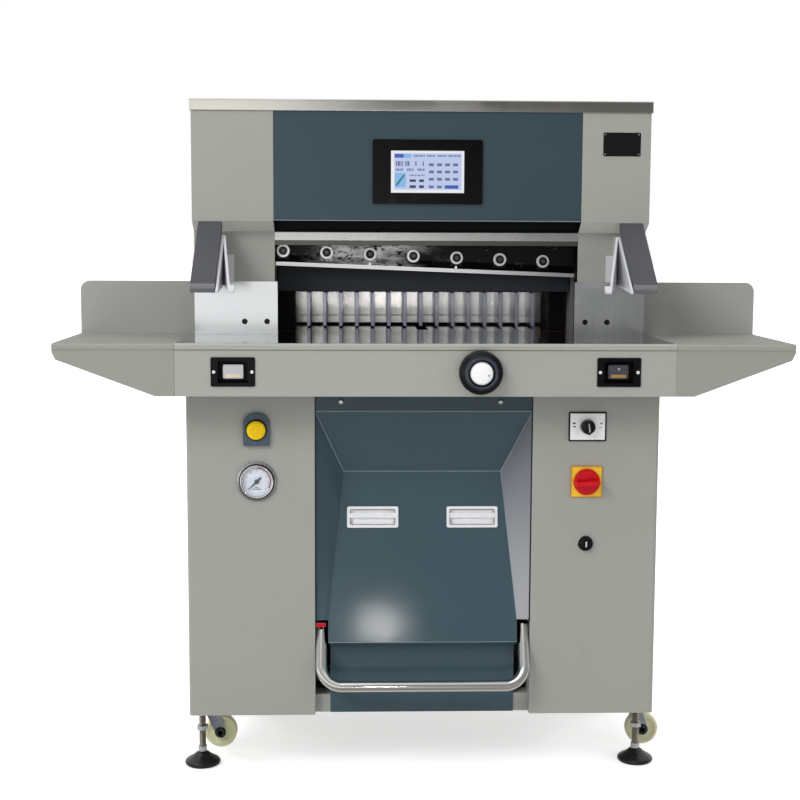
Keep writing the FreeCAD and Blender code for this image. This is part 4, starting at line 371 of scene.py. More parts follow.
finishes = {
    "cabinet": paint("cabinet_paint", LIGHT_GREY),
    # A lighter copy of the cabinet paint on the fold under the head: painted light against the fold's shade
    "cabinet_fold_painted_light": paint("cabinet_paint_fold_painted_light", LIGHT_GREY, tone=2.0),
    # The edge finishes are lighter copies of their paint with chips, on the eased edges: wear and painted
    # highlight
    "cabinet_wear_and_highlight_edge": paint("cabinet_paint_wear_and_highlight_edge", LIGHT_GREY, 0.38, 1.12, worn=0.3),
    "apron": paint("apron_paint", APRON_GREY, 0.38, grime=0.1),
    "apron_wear_and_highlight_edge": paint("apron_paint_wear_and_highlight_edge", APRON_GREY, 0.34, 1.12, worn=0.3),
    "side_table": paint("side_table_paint", (156, 157, 150), 0.6, grime=0.1, shine=0.12),
    # A darker copy of the side table paint for its top: painted shade against the light from above
    "side_top_painted_shade": paint("side_table_top_painted_shade", (139, 140, 133), 0.6, grime=0.1, shine=0.12),
    "fence": paint("fence_paint", (164, 165, 161), 0.5, grime=0.1),
    "slate": paint("slate_paint", SLATE, 0.3, peel=0.00005),
    "slate_wear_and_highlight_edge": paint("slate_paint_wear_and_highlight_edge", SLATE, 0.3, 1.9, worn=0.5),
    # Painted light: the knee cover's right facet is lighter than the rest of the cover
    "slate_facet_painted_light": painted_light_facet_paint(),
    "knee": paint("knee_cover_paint", KNEE_SLATE, 0.09, peel=0.00004),
    # A darker slate for the knee cover's flange: painted shade under the table's overhang
    "knee_flange_painted_shade": paint("knee_cover_paint_flange_painted_shade", SLATE, 0.34, peel=0.00005),
    # Pale lines along folds and edges: painted highlight
    "fold_highlight_line": paint("fold_highlight_line_paint", (150, 166, 174), 0.3),
    "arm": paint("arm_paint", (74, 75, 80), shine=0.25),
    "arm_nose": paint("arm_paint_nose", (120, 121, 125), 0.38),
    "bracket": paint("bracket_paint", (208, 209, 212), 0.3, grime=0.0, shine=0.6),
    # Near-black: painted shade on the cheek returns into the throat and on the carriage in the gap under the
    # back gauge; also the colour of the clamp's guide posts
    "inner": paint("inner_paint", (14, 15, 15), 0.45, shine=0.1),
    "web": paint("bar_web_paint", (16, 20, 21), 0.5, shine=0.1),
    "tank": paint("tank_paint", (140, 144, 140), 0.5),
    "motor": paint("motor_paint", (60, 84, 108), 0.45),
    "cast": cast(),
    "table": ground_table(),
    "clamp": clamp_black(),
    "knife": knife_black(),
    "seat": seat_steel_painted_light(),
    "bevel": ground_bevel(),
    "lid": brushed("lid_steel", (204, 202, 194), 0.12),
    "plate": brushed("gauge_steel", (214, 213, 209), 0.21, UPRIGHT, 0.2),
    "rib": brushed("rib_steel", (166, 170, 186), 0.3, UPRIGHT),
    "upright_plate": brushed("upright_plate_steel", (205, 207, 208), 0.2, UPRIGHT),
    "bar": brushed("bar_steel", (190, 190, 188), 0.22, LEVEL, 0.05),
    # Darker steel for the deflector bar's lower faces, painted shade; also the grey faces of the blade
    # screws' heads
    "lip": brushed("bar_lip_painted_shade_steel", (96, 95, 92), 0.32, LEVEL),
    "machined": brushed("machined_steel", (168, 170, 172), 0.32, EVEN),
    "steel_ring": brushed("steel_ring", (176, 179, 182), 0.26, EVEN),
    "stem": brushed("stem_steel", (158, 150, 140), 0.26, FINE_EVEN),
    "blade": brushed("blade_steel", (226, 228, 230), 0.16, (260, 260, 6)),
    "washer": brushed("washer_steel", (222, 222, 220), 0.3, COARSE_EVEN, 0.06),
    "screw_dark": brushed("screw_dark_steel", (46, 47, 50), 0.3, COARSE_EVEN),
    "bronze": brushed("bearing_bronze", (196, 160, 96), 0.34, COARSE_EVEN),
    "gold": brushed("brass_strip", (214, 172, 104), 0.34, COARSE_EVEN),
    "chrome": chrome(),
    "zinc": plated("zinc_plate", (200, 202, 205)),
    # A darker copy of the zinc plate for the caster forks: painted shade
    "fork_zinc_painted_shade": plated("fork_zinc_plate_painted_shade", (150, 157, 168)),
    "pull": moulded("pull_white", (236, 237, 240), 0.25, SMOOTH, shine=0.6),
    "pull_post": moulded("pull_taupe", (150, 145, 136)),
    "rubber": moulded("black_rubber", (16, 17, 16), 0.28, 0.00006, 500, 0.5),
    "black": moulded("black_plastic", (15, 15, 17), 0.3),
    "pan": moulded("pan_black", (14, 14, 17), 0.26, SMOOTH, shine=0.1),
    "gloss_black": moulded("gloss_black_plastic", (10, 10, 12), 0.14, SMOOTH, shine=0.15),
    # The pale push with its cream bar and the dark push are one cut button lit and shaded: painted light and
    # painted shade
    "push_painted_light": moulded("push_painted_light", (196, 193, 198), 0.3, 0.0001, 90),
    "wheel_ring": moulded("wheel_ring_plastic", (48, 54, 68), 0.2, SMOOTH, shine=0.5),
    "shroud": moulded("shroud_plastic", (78, 91, 106), 0.45),
    "stick": moulded("cutting_stick_plastic", (150, 30, 34), 0.45),
    "nylon": cream_nylon(),
    "clear": clear_cover(),
}
for kind, name, rough, rgb in (
        ("white", "white_plastic", 0.3, (252, 252, 252)), ("red", "red_plastic", 0.2, (204, 8, 26)),
        ("push_bar_painted_light", "push_bar_painted_light", 0.35, (226, 214, 186)), ("push_painted_shade", "push_painted_shade", 0.3, (72, 74, 80)),
        ("yellow", "yellow_plastic", 0.3, (255, 216, 14)),
        ("yellow_deep", "yellow_plastic_middle", 0.34, (244, 196, 14)),
        ("plate_yellow", "switch_plate_yellow", 0.4, (246, 200, 60)),
        ("plate_orange", "switch_plate_orange", 0.4, (236, 168, 40)),
        ("plate_mark", "plate_mark", 0.5, (96, 100, 106)), ("dial", "dial_white", 0.5, (226, 232, 244)),
        ("dial_red", "dial_red", 0.5, (150, 34, 56)), ("dial_mark", "dial_mark", 0.5, (104, 110, 120))):
    finishes[kind] = moulded(name, rgb, rough, SMOOTH)
for name, rgb in (("ground", (200, 212, 248)), ("white", (246, 248, 253)), ("blue", (64, 96, 190)),
                  ("sky", (140, 192, 236)), ("teal", (40, 130, 140)), ("dark", (52, 56, 70)),
                  ("mark", (106, 118, 160))):
    finishes["screen_" + name] = lit("screen_" + name, rgb)


# Shapes

def eased(points, radius, steps=3):
    """The same open outline with its inner corners rounded."""
    points = [Vector(point) for point in points]
    out = [points[0]]
    for before, corner, after in zip(points, points[1:], points[2:]):
        back, ahead = before - corner, after - corner
        reach = min(radius, back.length * 0.45, ahead.length * 0.45)
        start = corner + back.normalized() * reach
        end = corner + ahead.normalized() * reach
        for step in range(steps + 1):
            t = step / steps
            out.append(start * (1 - t) ** 2 + corner * (2 * t * (1 - t)) + end * t ** 2)
    out.append(points[-1])
    return out


def rounded(u_low, u_high, v_low, v_high, radius, steps=5):
    """A closed rectangle outline with round corners."""
    radius = min(radius, (u_high - u_low) * 0.499, (v_high - v_low) * 0.499)
    out = []
    for u, v, turn in ((u_high - radius, v_low + radius, -90), (u_high - radius, v_high - radius, 0),
                       (u_low + radius, v_high - radius, 90), (u_low + radius, v_low + radius, 180)):
        for step in range(steps + 1):
            angle = math.radians(turn + 90 * step / steps)
            out.append((u + radius * math.cos(angle), v + radius * math.sin(angle)))
    return out


def skin(bm, near, far):
    """The faces between two rings of points, where a ring of one point is a tip."""
    count = max(len(near), len(far))
    faces = []
    for step in range(count):
        after = (step + 1) % count
        loop = [near[step % len(near)], near[after % len(near)], far[after % len(far)], far[step % len(far)]]
        faces.append(bm.faces.new(list(dict.fromkeys(loop))))
    return faces


def closed(bm, faces, finish):
    """Turn the faces of a closed shape outwards and give them their finish."""
    bmesh.ops.recalc_face_normals(bm, faces=faces)
    for face in faces:
        face.material_index = finish


def ring_of(bm, centre, side, up, radius, steps):
    """Points on a circle, where side and up are the directions across its axis."""
    turns = [2 * math.pi * step / steps for step in range(steps)]
    return [bm.verts.new(centre + (side * math.cos(t) + up * math.sin(t)) * radius) for t in turns]


def turned(bm, centre, profile, steps, finish=0, ease=0.0, axis=(0, -1, 0)):
    """A round shape about an axis, towards the front if nothing else is said.

    The profile is (radius, reach along the axis) from end to end. One that starts on the axis ends on
    it too and gives a solid, any other is closed to a ring."""
    axis = Vector(axis).normalized()
    side = axis.orthogonal().normalized()
    up = axis.cross(side)
    rings = []
    for radius, reach in eased(profile, ease) if ease else profile:
        base = Vector(centre) + axis * reach
        on_axis = radius < 1e-4
        rings.append([bm.verts.new(base)] if on_axis else ring_of(bm, base, side, up, radius, steps))
    if len(rings[0]) > 1:
        rings.append(rings[0])
    closed(bm, [face for near, far in zip(rings, rings[1:]) for face in skin(bm, near, far)], finish)


def ease_edges(bm, edges, width, segments=2, finish=0):
    """Round some edges. The new faces have the piece's first finish if nothing else is said."""
    bmesh.ops.bevel(bm, geom=list(edges), offset=width, segments=segments, profile=0.5, affect="EDGES",
                    clamp_overlap=True, material=finish)


def prism(bm, axis, low, high, outline, ease=0.0, finish=0):
    """An outline pushed from low to high along Y or Z, with both rims eased."""
    near, far = [[bm.verts.new((u, reach, v) if axis == "y" else (u, v, reach)) for u, v in outline]
                 for reach in (low, high)]
    caps = [bm.faces.new(near), bm.faces.new(far)]
    closed(bm, caps + skin(bm, near, far), finish)
    if ease:
        ease_edges(bm, {edge for cap in caps for edge in cap.edges}, ease)


def panel(bm, x, z, half_width, half_height, front, back, radius, ease=0.0, finish=0):
    """A flat piece with round corners that faces the front."""
    outline = rounded(x - half_width, x + half_width, z - half_height, z + half_height, radius)
    prism(bm, "y", front, back, outline, ease, finish)


def block(bm, low, high, ease, finish):
    """A solid block between two corners with all its edges eased."""
    made = bmesh.ops.create_cube(bm, size=1)["verts"]
    middle, size = (Vector(low) + Vector(high)) / 2, Vector(high) - Vector(low)
    for vert in made:
        vert.co = middle + Vector(vert.co[i] * size[i] for i in range(3))
    for face in {face for vert in made for face in vert.link_faces}:
        face.material_index = finish
    ease_edges(bm, {edge for vert in made for edge in vert.link_edges}, ease)


def rod(bm, start, end, radius, finish=0):
    """A thin straight round bar, closed at both ends."""
    start, end = Vector(start), Vector(end)
    way = (end - start).normalized()
    side = way.orthogonal().normalized()
    near, far = [ring_of(bm, point, side, way.cross(side), radius, 10) for point in (start, end)]
    closed(bm, [bm.faces.new(near), bm.faces.new(far)] + skin(bm, near, far), finish)


def settle(obj):
    """Apply the object's modifiers and leave none."""
    bpy.context.view_layer.update()
    graph = bpy.context.evaluated_depsgraph_get()
    mesh = bpy.data.meshes.new_from_object(obj.evaluated_get(graph), preserve_all_data_layers=True,
                                           depsgraph=graph)
    obj.modifiers.clear()
    obj.data = mesh


def finished_mesh(name, bm, kinds, hard=50):
    """The built shape, from millimetres, as a mesh with its hard edges marked and its finishes on."""
    bmesh.ops.transform(bm, matrix=Matrix.Scale(MM, 4), verts=bm.verts)
    for face in bm.faces:
        face.smooth = True
    for edge in bm.edges:
        if len(edge.link_faces) == 2 and edge.calc_face_angle(0.0) > math.radians(hard):
            edge.smooth = False
    mesh = bpy.data.meshes.new(name)
    bm.to_mesh(mesh)
    bm.free()
    for kind in kinds:
        mesh.materials.append(finishes[kind])
    return mesh


def placed(obj, node, slot, replaced=()):
    """Let a piece ride with the body of a frame node and hide the nodes it replaces; what it stands for, its
    slot, is not used.
    """
    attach(obj, nodes[node]["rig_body"])
    for word in replaced:
        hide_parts(word)


def piece(name, bm, kinds, node, slot, replaced=(), hard=50):
    """A finished piece, built in millimetres, that rides with a frame node."""
    obj = bpy.data.objects.new(name, finished_mesh(name, bm, kinds, hard))
    bpy.context.scene.collection.objects.link(obj)
    weighted = obj.modifiers.new("flat_faces_stay_flat", "WEIGHTED_NORMAL")
    weighted.keep_sharp = True
    settle(obj)
    placed(obj, node, slot, replaced)


def rebuilt(node, bm, kinds, slot, hard=50):
    """A piece that takes the place of a frame node."""
    piece(node + "_shape", bm, kinds, node, slot, [node], hard)


def merged(node):
    """A frame node's triangles as one clean mesh, in millimetres."""
    bm = bmesh.new()
    bm.from_mesh(nodes[node].data)
    bmesh.ops.transform(bm, matrix=Matrix.Scale(1 / MM, 4), verts=bm.verts)
    bmesh.ops.remove_doubles(bm, verts=bm.verts, dist=0.004)
    bmesh.ops.dissolve_limit(bm, angle_limit=math.radians(0.4), verts=bm.verts, edges=bm.edges)
    for face in bm.faces:
        face.material_index = 0
    return bm


def islands(bm):
    """The separate solids of a mesh, each a list of its faces."""
    left = set(bm.faces)
    found = []
    while left:
        todo = [left.pop()]
        group = []
        while todo:
            face = todo.pop()
            group.append(face)
            for edge in face.edges:
                for other in edge.link_faces:
                    if other in left:
                        left.discard(other)
                        todo.append(other)
        found.append(group)
    return found


def span(faces):
    """The middle and the size of some faces."""
    corners = [vert.co for face in faces for vert in face.verts]
    low, high = [Vector(pick(corner[i] for corner in corners) for i in range(3)) for pick in (min, max)]
    return (low + high) / 2, high - low


def soften(bm, width, sharp, finish, segments):
    """Round the sharp edges, one solid at a time so that small solids don't hold the large ones back."""
    for solid in islands(bm):
        edges = {edge for face in solid for edge in face.edges}
        keen = [edge for edge in edges if len(edge.link_faces) == 2
                and edge.calc_face_angle(0.0) > math.radians(sharp)]
        if keen:
            ease_edges(bm, keen, width, segments, finish)


def dressed(node, slot, *kinds, bevel, sharp=30, segments=2, solid=None, face=None, add=None, hard=50):
    """A frame node with its edges eased and its finishes on.

    solid picks a solid's finish from its middle and size, face picks a face's from its middle and
    normal unless it gives None, and add builds on further shapes. The eased edges get the last finish
    if that is named as an edge's."""
    bm = merged(node)
    if solid:
        for faces in islands(bm):
            kind = solid(*span(faces))
            for part in faces:
                part.material_index = kind
    if face:
        for part in bm.faces:
            chosen = face(part.calc_center_median(), part.normal)
            part.material_index = part.material_index if chosen is None else chosen
    # The edge finish is a lighter copy of the paint with chips: wear and painted highlight
    worn = len(kinds) - 1 if kinds[-1].endswith("_edge") else -1
    soften(bm, bevel, sharp, worn, segments)
    if add:
        add(bm)
    piece(node + "_dressed", bm, kinds, node, slot, [node], hard)


def coated(kind, *names):
    """Frame nodes that keep their mesh and get a finish."""
    for name in names:
        materials = nodes[name].data.materials
        materials.clear()
        materials.append(finishes[kind])


# Copies along a row or round a ring

def copies_tree():
    """Copies of a shape: each is moved by a pitch and turned by a turn from the one before."""
    group = bpy.data.node_groups.new("row_or_ring_of_copies", "GeometryNodeTree")
    face = group.interface
    face.new_socket("Geometry", in_out="INPUT", socket_type="NodeSocketGeometry")
    for label, kind in (("Shape", "Object"), ("Count", "Int"), ("First", "Vector"), ("Pitch", "Vector"),
                        ("First turn", "Vector"), ("Turn", "Vector"), ("Finish", "Material")):
        face.new_socket(label, in_out="INPUT", socket_type="NodeSocket" + kind)
    face.new_socket("Geometry", in_out="OUTPUT", socket_type="NodeSocketGeometry")
    tree = Tree(group)
    source = group.nodes.new("NodeGroupInput")
    given = {socket.name: Wire(tree, socket) for socket in source.outputs if socket.name}
    index = tree.node("GeometryNodeInputIndex")

    def step(each, first):
        scaled = tree.node("ShaderNodeVectorMath", {"operation": "SCALE"}, {0: given[each], "Scale": index})
        return tree.node("ShaderNodeVectorMath", {"operation": "ADD"}, {0: scaled, 1: given[first]})

    points = tree.node("GeometryNodePoints", {},
                       {"Count": given["Count"], "Position": step("Pitch", "First")})
    shape = tree.node("GeometryNodeObjectInfo", {}, {"Object": given["Shape"]}, out="Geometry")
    turn = tree.node("FunctionNodeEulerToRotation", {}, {"Euler": step("Turn", "First turn")})
    copies = tree.node("GeometryNodeInstanceOnPoints", {},
                       {"Points": points, "Instance": shape, "Rotation": turn})
    real = tree.node("GeometryNodeRealizeInstances", {}, {"Geometry": copies})
    covered = tree.node("GeometryNodeSetMaterial", {}, {"Geometry": real, "Material": given["Finish"]})
    sink = group.nodes.new("NodeGroupOutput")
    group.links.new(covered.socket, sink.inputs["Geometry"])
    return group


COPIES = copies_tree()


def copies(name, bm, kind, node, slot, count, first, pitch=(0, 0, 0), first_turn=(0, 0, 0), turn=(0, 0, 0)):
    """One shape, built at the origin in millimetres, set out as a row or a ring of copies."""
    shape = bpy.data.objects.new(name + "_shape", finished_mesh(name + "_shape", bm, [kind]))
    obj = bpy.data.objects.new(name, bpy.data.meshes.new(name))
    for made in (shape, obj):
        bpy.context.scene.collection.objects.link(made)
    modifier = obj.modifiers.new("copies", "NODES")
    modifier.node_group = COPIES
    values = {"Shape": shape, "Count": count, "First": Vector(first) * MM, "Pitch": Vector(pitch) * MM,
              "First turn": Vector(first_turn), "Turn": Vector(turn), "Finish": finishes[kind]}
    for item in COPIES.interface.items_tree:
        if item.item_type == "SOCKET" and item.in_out == "INPUT" and item.name in values:
            modifier[item.identifier] = values[item.name]
    settle(obj)
    bpy.data.objects.remove(shape)
    placed(obj, node, slot)


# Small shapes used in several places

def arc_band(bm, x, z, inner, outer, start, end, low, high, finish):
    """Part of a flat ring on a face that looks forward, angles in degrees from +X towards +Z."""
    steps = 40
    turns = [math.radians(start + (end - start) * step / steps) for step in range(steps + 1)]
    outline = [(x + outer * math.cos(t), z + outer * math.sin(t)) for t in turns]
    outline += [(x + inner * math.cos(t), z + inner * math.sin(t)) for t in reversed(turns)]
    prism(bm, "y", low, high, outline, 0, finish)


def hexagon_outline(u, v, flats, start):
    reach = flats / math.sqrt(3)
    turns = [start + 2 * math.pi * step / 6 for step in range(6)]
    return [(u + reach * math.cos(turn), v + reach * math.sin(turn)) for turn in turns]


# Sheet covers and castings

THROAT_X, THROAT_REACH = middle_of("cutting_stick").x, 330
TABLE_Z = box_of("cutting_table")[1].z


def covers():
    for node in ("column_shells", "rear_cabinet_cover", "gantry_rear_cover", "rear_table_cover"):
        dressed(node, "cabinet_paint", "cabinet", "cabinet_wear_and_highlight_edge", bevel=0.7)
    dressed("base_frame", "cabinet_paint", "cabinet", "cabinet_wear_and_highlight_edge", bevel=1.0)

    low, high = box_of("head_panel")

    def cheek_part(middle, way):
        """The returns into the throat, painted near-black as painted shade, and the fold under the head, in a
        lighter paint as painted light against its shade.
        """
        if abs(way.x) > 0.9 and abs(middle.x - THROAT_X) < THROAT_REACH and middle.z < low.z:
            return 2
        return 1 if way.z < -0.2 and way.y < -0.1 else 0

    dressed("cheek_covers", "cabinet_paint", "cabinet", "cabinet_fold_painted_light", "inner", "cabinet_wear_and_highlight_edge", bevel=0.4,
            face=cheek_part)
    dressed("front_apron", "table_front_paint", "apron", "apron_wear_and_highlight_edge", bevel=0.4)
    # The side tables' tops get the darker copy of their paint: painted shade
    dressed("side_tables", "table_front_paint", "side_table", "fence", "side_top_painted_shade", "apron_wear_and_highlight_edge", bevel=0.5,
            solid=lambda middle, size: 1 if middle.z > TABLE_Z + 15 else 0,
            face=lambda middle, way: 2 if way.z > 0.9 and middle.z < TABLE_Z + 5 else None)
    dressed("top_cover", "lid_steel", "lid", bevel=0.8)
    dressed("head_panel", "head_paint", "slate", "slate_wear_and_highlight_edge", bevel=0.7)
    # A pale line along the foot of the head panel: painted highlight
    foot_line = bmesh.new()
    rod(foot_line, *[(x, low.y + 0.4, low.z + 0.8) for x in (low.x + 0.7, high.x - 0.7)], 0.8)
    piece("head_panel_foot_line", foot_line, ["fold_highlight_line"], "head_panel", "head_paint")
    dressed("arm_covers", "arm_paint", "arm", "arm_nose", bevel=1.4, segments=4,
            face=lambda middle, way: 1 if middle.y < -470 else 0)
    dressed("arm_brackets", "plate_steel", "bracket", bevel=0.5)

    blank = bmesh.new()
    x, z, front = 418.9, 1311.2, low.y - 0.8
    panel(blank, x, z, 39.4, 24.5, front, low.y, 2.5, 0.3)
    for side in (-35.4, 35.4):
        for rise in (-20.5, 20.5):
            turned(blank, (x + side, front, z + rise),
                   [(0, 0.7), (1.0, 0.55), (1.6, 0), (1.6, -0.5), (0, -0.5)], 16, 1)
    piece("blank_plate", blank, ["black", "zinc"], "cheek_covers", "cabinet_paint")


def knee_cover():
    # The folds beside the pocket: distance from the middle and height, at their top, waist and foot
    (top, top_z), (waist, waist_z), (foot, foot_z) = (220.5, 767), (163, 634), (194, 335)

    def part_of(middle, way):
        """The flange over the pocket, in a darker paint as painted shade under the table, and the facet
        outside the pocket's slanted right folds, in a lighter paint as painted light.
        """
        if middle.z > top_z + 1:
            return 3 if abs(middle.x) < 60 and way.y < -0.9 else None
        below = (waist_z - middle.z) / (waist_z - foot_z)
        above = (middle.z - waist_z) / (top_z - waist_z)
        fold = waist + ((foot - waist) * below if below > 0 else (top - waist) * above)
        return 1 if middle.x > fold + 0.5 and middle.z > foot_z and way.y < -0.02 else None

    def folds_and_tab(bm):
        """Painted highlight lines along the folds, black edging beside the columns and the red tab at the
        pocket.
        """
        block(bm, (-219.5, -478, 322), (-199, -475.5, 330), 0.5, 4)
        rows = ((top, -475, top_z), (waist, -411, waist_z), (foot, -472.7, foot_z), (foot, -482, 290))
        left, right = [[(side * x, y, z) for x, y, z in rows] for side in (-1, 1)]
        for start, end, radius in (
                (left[0], right[0], 0.7), (left[1], right[1], 0.7), (left[3], right[3], 0.5),
                (right[1], right[2], 0.5), (left[0], left[1], 0.7), (right[0], right[1], 0.7)):
            rod(bm, start, end, radius, 5)
        for low, high in ((-220.9, -218.2), (218.2, 220.9)):
            block(bm, (low, -475.9, 332), (high, -475.1, 806), 0.2, 6)

    dressed("knee_cover", "head_paint", "knee", "slate_facet_painted_light", "zinc", "knee_flange_painted_shade", "red", "fold_highlight_line",
            "black", bevel=0.4, sharp=60, face=part_of, add=folds_and_tab, hard=8,
            solid=lambda middle, size: 2 if middle.z > 780 and size.x < 20 else 0)


def pull_handles():
    def posts(bm):
        """The end posts of each grip bar and the floor of its recess, square to the sloping face."""
        slope = Matrix.Rotation(math.radians(-11.66), 3, "X")
        handle_x, handle_y, handle_z = 103, -430.2, 541
        for middle in (-handle_x, handle_x):
            before = set(bm.verts)
            for end in (-46, 46):
                block(bm, (end - 2.6, -1.6, -15), (end + 2.6, 8, 15), 0.7, 1)
            block(bm, (-44, 3.5, -15), (44, 8, 15), 0.5, 0)
            added = [vert for vert in bm.verts if vert not in before]
            bmesh.ops.rotate(bm, verts=added, matrix=slope)
            bmesh.ops.translate(bm, verts=added, vec=(middle, handle_y, handle_z))

    dressed("pull_handles", "bright_chrome", "pull", "pull_post", bevel=0.6, add=posts)


def guide_part(middle, way):
    """The countersunk screws are black, the plates are ground steel."""
    screw_xs, screw_z, reach = (-374, -326.6, 353.5, 400.6), 937, 6.3
    near = min(abs(middle.x - x) for x in screw_xs)
    return 1 if near < reach and abs(middle.z - screw_z) < reach else 0


def table_pieces():
    dressed("cutting_table", "table_iron", "table", bevel=0.5)
    dressed("rear_table", "table_iron", "table", bevel=0.5)
    dressed("cutting_stick", "stick_plastic", "stick", bevel=0.2)
    dressed("guide_plates", "plate_steel", "upright_plate", "black", bevel=0.3, face=guide_part)
    # The deflector bar's lower faces get the darker steel: painted shade under the bar
    dressed("deflector_bar", "bright_chrome", "bar", "web", "lip", bevel=0.4,
            face=lambda middle, way: 1 if middle.z > 1127.5 else 2 if middle.z < 1109.5 else 0)


def knife_and_clamp():
    # The carrier leans by the knife's shear about its right pin, and the screws' faces stand in front of it
    pin_x, pin_z, lean = 365, 1128.3, 0.0367
    screw_front = -231

    def seat_face(middle, way):
        """The small flat seats that stand in the carrier's chamfer under the screws."""
        below = pin_z - middle.z - (middle.x - pin_x) * lean
        return 1 if way.y < -0.9 and middle.y < -225.5 and below > 70 else 0

    def pegs(bm):
        # The pegs take the glowing bevel finish: painted light
        for x, z in ((-107.6, 1065), (80.3, 1058)):
            block(bm, (x - 2.6, -222, z - 11), (x + 2.6, -208, z + 3), 0.8, 2)

    def screw_part(middle, way):
        """Washers behind, dark heads before them, and a grey face on each head."""
        if middle.y > screw_front + 0.6:
            return 0
        return 2 if abs(middle.y - screw_front) < 0.5 and way.y < -0.9 else 1

    def gauge_part(middle, way):
        """Ribs in front of the plate, and the carriage that shows in the gap under it, painted near-black as
        painted shade.
        """
        if middle.z < TABLE_Z + 5.5 and way.y < -0.9:
            return 2
        return 1 if middle.y < 62.5 else 0

    dressed("knife_beam", "black_steel", "knife", "seat", "bevel", bevel=0.8, add=pegs, face=seat_face)
    # The blade's bevel faces take the glowing bevel finish: painted light
    dressed("blade", "blade_steel", "blade", "bevel", bevel=0.1,
            face=lambda middle, way: 1 if way.y < -0.2 and way.z < -0.2 else 0)
    dressed("blade_screws", "machined_steel", "washer", "screw_dark", "lip", bevel=0.6, face=screw_part)
    dressed("clamp_beam", "machined_steel", "clamp", bevel=0.8)
    dressed("clamp_guide_posts", "inner_paint", "inner", bevel=0.8)
    dressed("back_gauge", "plate_steel", "plate", "rib", "inner", bevel=0.5, face=gauge_part)


def inner_pieces():
    coated("cast", "left_side_frame", "right_side_frame", "gantry_crossbeam")
    coated("bronze", "right_slide_block", "left_slide_block")
    coated("machined", "clamp_yoke", "hydraulic_cylinders", "gauge_lead_screw")
    coated("chrome", "knife_rod")
    coated("black", "gauge_motor")
    coated("tank", "hydraulic_tank")
    coated("motor", "pump_motor")


# Screen in the head

SCREEN_WIDTH, SCREEN_HEIGHT = 153, 87
SCREEN_LEFT = middle_of("touch_screen").x - SCREEN_WIDTH / 2
SCREEN_TOP = middle_of("touch_screen").z + SCREEN_HEIGHT / 2
SCREEN_FLOOR = box_of("touch_screen")[0].y + 1.5


def on_screen(across, down):
    """A point of the display, from shares of its width and height."""
    return SCREEN_LEFT + SCREEN_WIDTH * across, SCREEN_TOP - SCREEN_HEIGHT * down


def screen_patch(bm, left, top, right, foot, finish, rise=0.2):
    (u_low, v_high), (u_high, v_low) = on_screen(left, top), on_screen(right, foot)
    outline = rounded(u_low, u_high, v_low, v_high, 0.05, 2)
    prism(bm, "y", SCREEN_FLOOR - rise, SCREEN_FLOOR, outline, 0, finish)


def touch_screen():
    dressed("touch_screen", "gloss_black_plastic", "gloss_black", "screen_white", bevel=0.6,
            face=lambda middle, way: 1 if way.y < -0.9 and abs(middle.y - SCREEN_FLOOR) < 0.3 else 0)
    picture = bmesh.new()
    screen_patch(picture, 0.045, 0.06, 0.965, 0.925, 0, 0.1)
    # Bars, fields and buttons: left, top, right, foot and finish
    patches = [(0.046, 0.078, 0.172, 0.169, 1), (0.172, 0.078, 0.274, 0.169, 2),
               (0.058, 0.365, 0.205, 0.37, 5), (0.053, 0.53, 0.205, 0.87, 2),
               (0.255, 0.68, 0.34, 0.74, 4), (0.385, 0.68, 0.45, 0.74, 4),
               (0.255, 0.82, 0.34, 0.885, 4), (0.385, 0.82, 0.45, 0.885, 4),
               (0.735, 0.815, 0.922, 0.898, 1)]
    # Lines of short marks: top, foot, width of a mark, and where each line starts and ends
    for top, foot, width, ends in (
            (0.098, 0.143, 0.026, (0.308, 0.46, 0.49, 0.605, 0.635, 0.757, 0.78, 0.954)),
            (0.25, 0.36, 0.03, (0.065, 0.164, 0.195, 0.255, 0.331, 0.354, 0.43, 0.46)),
            (0.42, 0.48, 0.024, (0.065, 0.172, 0.217, 0.308, 0.362, 0.468)),
            (0.565, 0.6, 0.022, (0.255, 0.46))):
        for start, end in zip(ends[::2], ends[1::2]):
            patches += dashes(start, end, top, foot, width)
    for patch in patches:
        screen_patch(picture, *patch)
    stroke = [on_screen(u, v) for u, v in ((0.062, 0.81), (0.172, 0.56), (0.195, 0.58), (0.085, 0.84))]
    prism(picture, "y", SCREEN_FLOOR - 0.3, SCREEN_FLOOR, stroke, 0, 3)
    piece("screen_picture", picture, ["screen_ground", "screen_blue", "screen_sky", "screen_teal",
                                      "screen_dark", "screen_mark"], "touch_screen", "gloss_black_plastic")
    for row, (height, count) in enumerate(((0.33, 4), (0.50, 4), (0.673, 4), (0.855, 2))):
        key = bmesh.new()
        prism(key, "y", -0.2, 0, rounded(-5.2, 5.2, -2.9, 2.9, 0.6, 3), 0)
        x, z = on_screen(0.552, height)
        copies("screen_keys_row_%d" % (row + 1), key, "screen_mark", "touch_screen", "gloss_black_plastic",
               count, (x, SCREEN_FLOOR, z), (16.8, 0, 0))


def dashes(start, end, top, foot, width):
    """A line of plain short marks."""
    out = []
    place, step = start, 0
    while place < end - 0.004:
        wide = min(width * (0.6, 1.0, 0.45, 0.8)[step % 4], end - place)
        out.append((place, top, place + wide, foot, 5))
        place += wide + 0.009
        step += 1
    return out


# Controls on the columns

CONTROL_Y = box_of("column_shells")[0].y


def control(node):
    """Where a control sits on the front of its column."""
    middle = middle_of(node)
    return middle.x, CONTROL_Y, middle.z


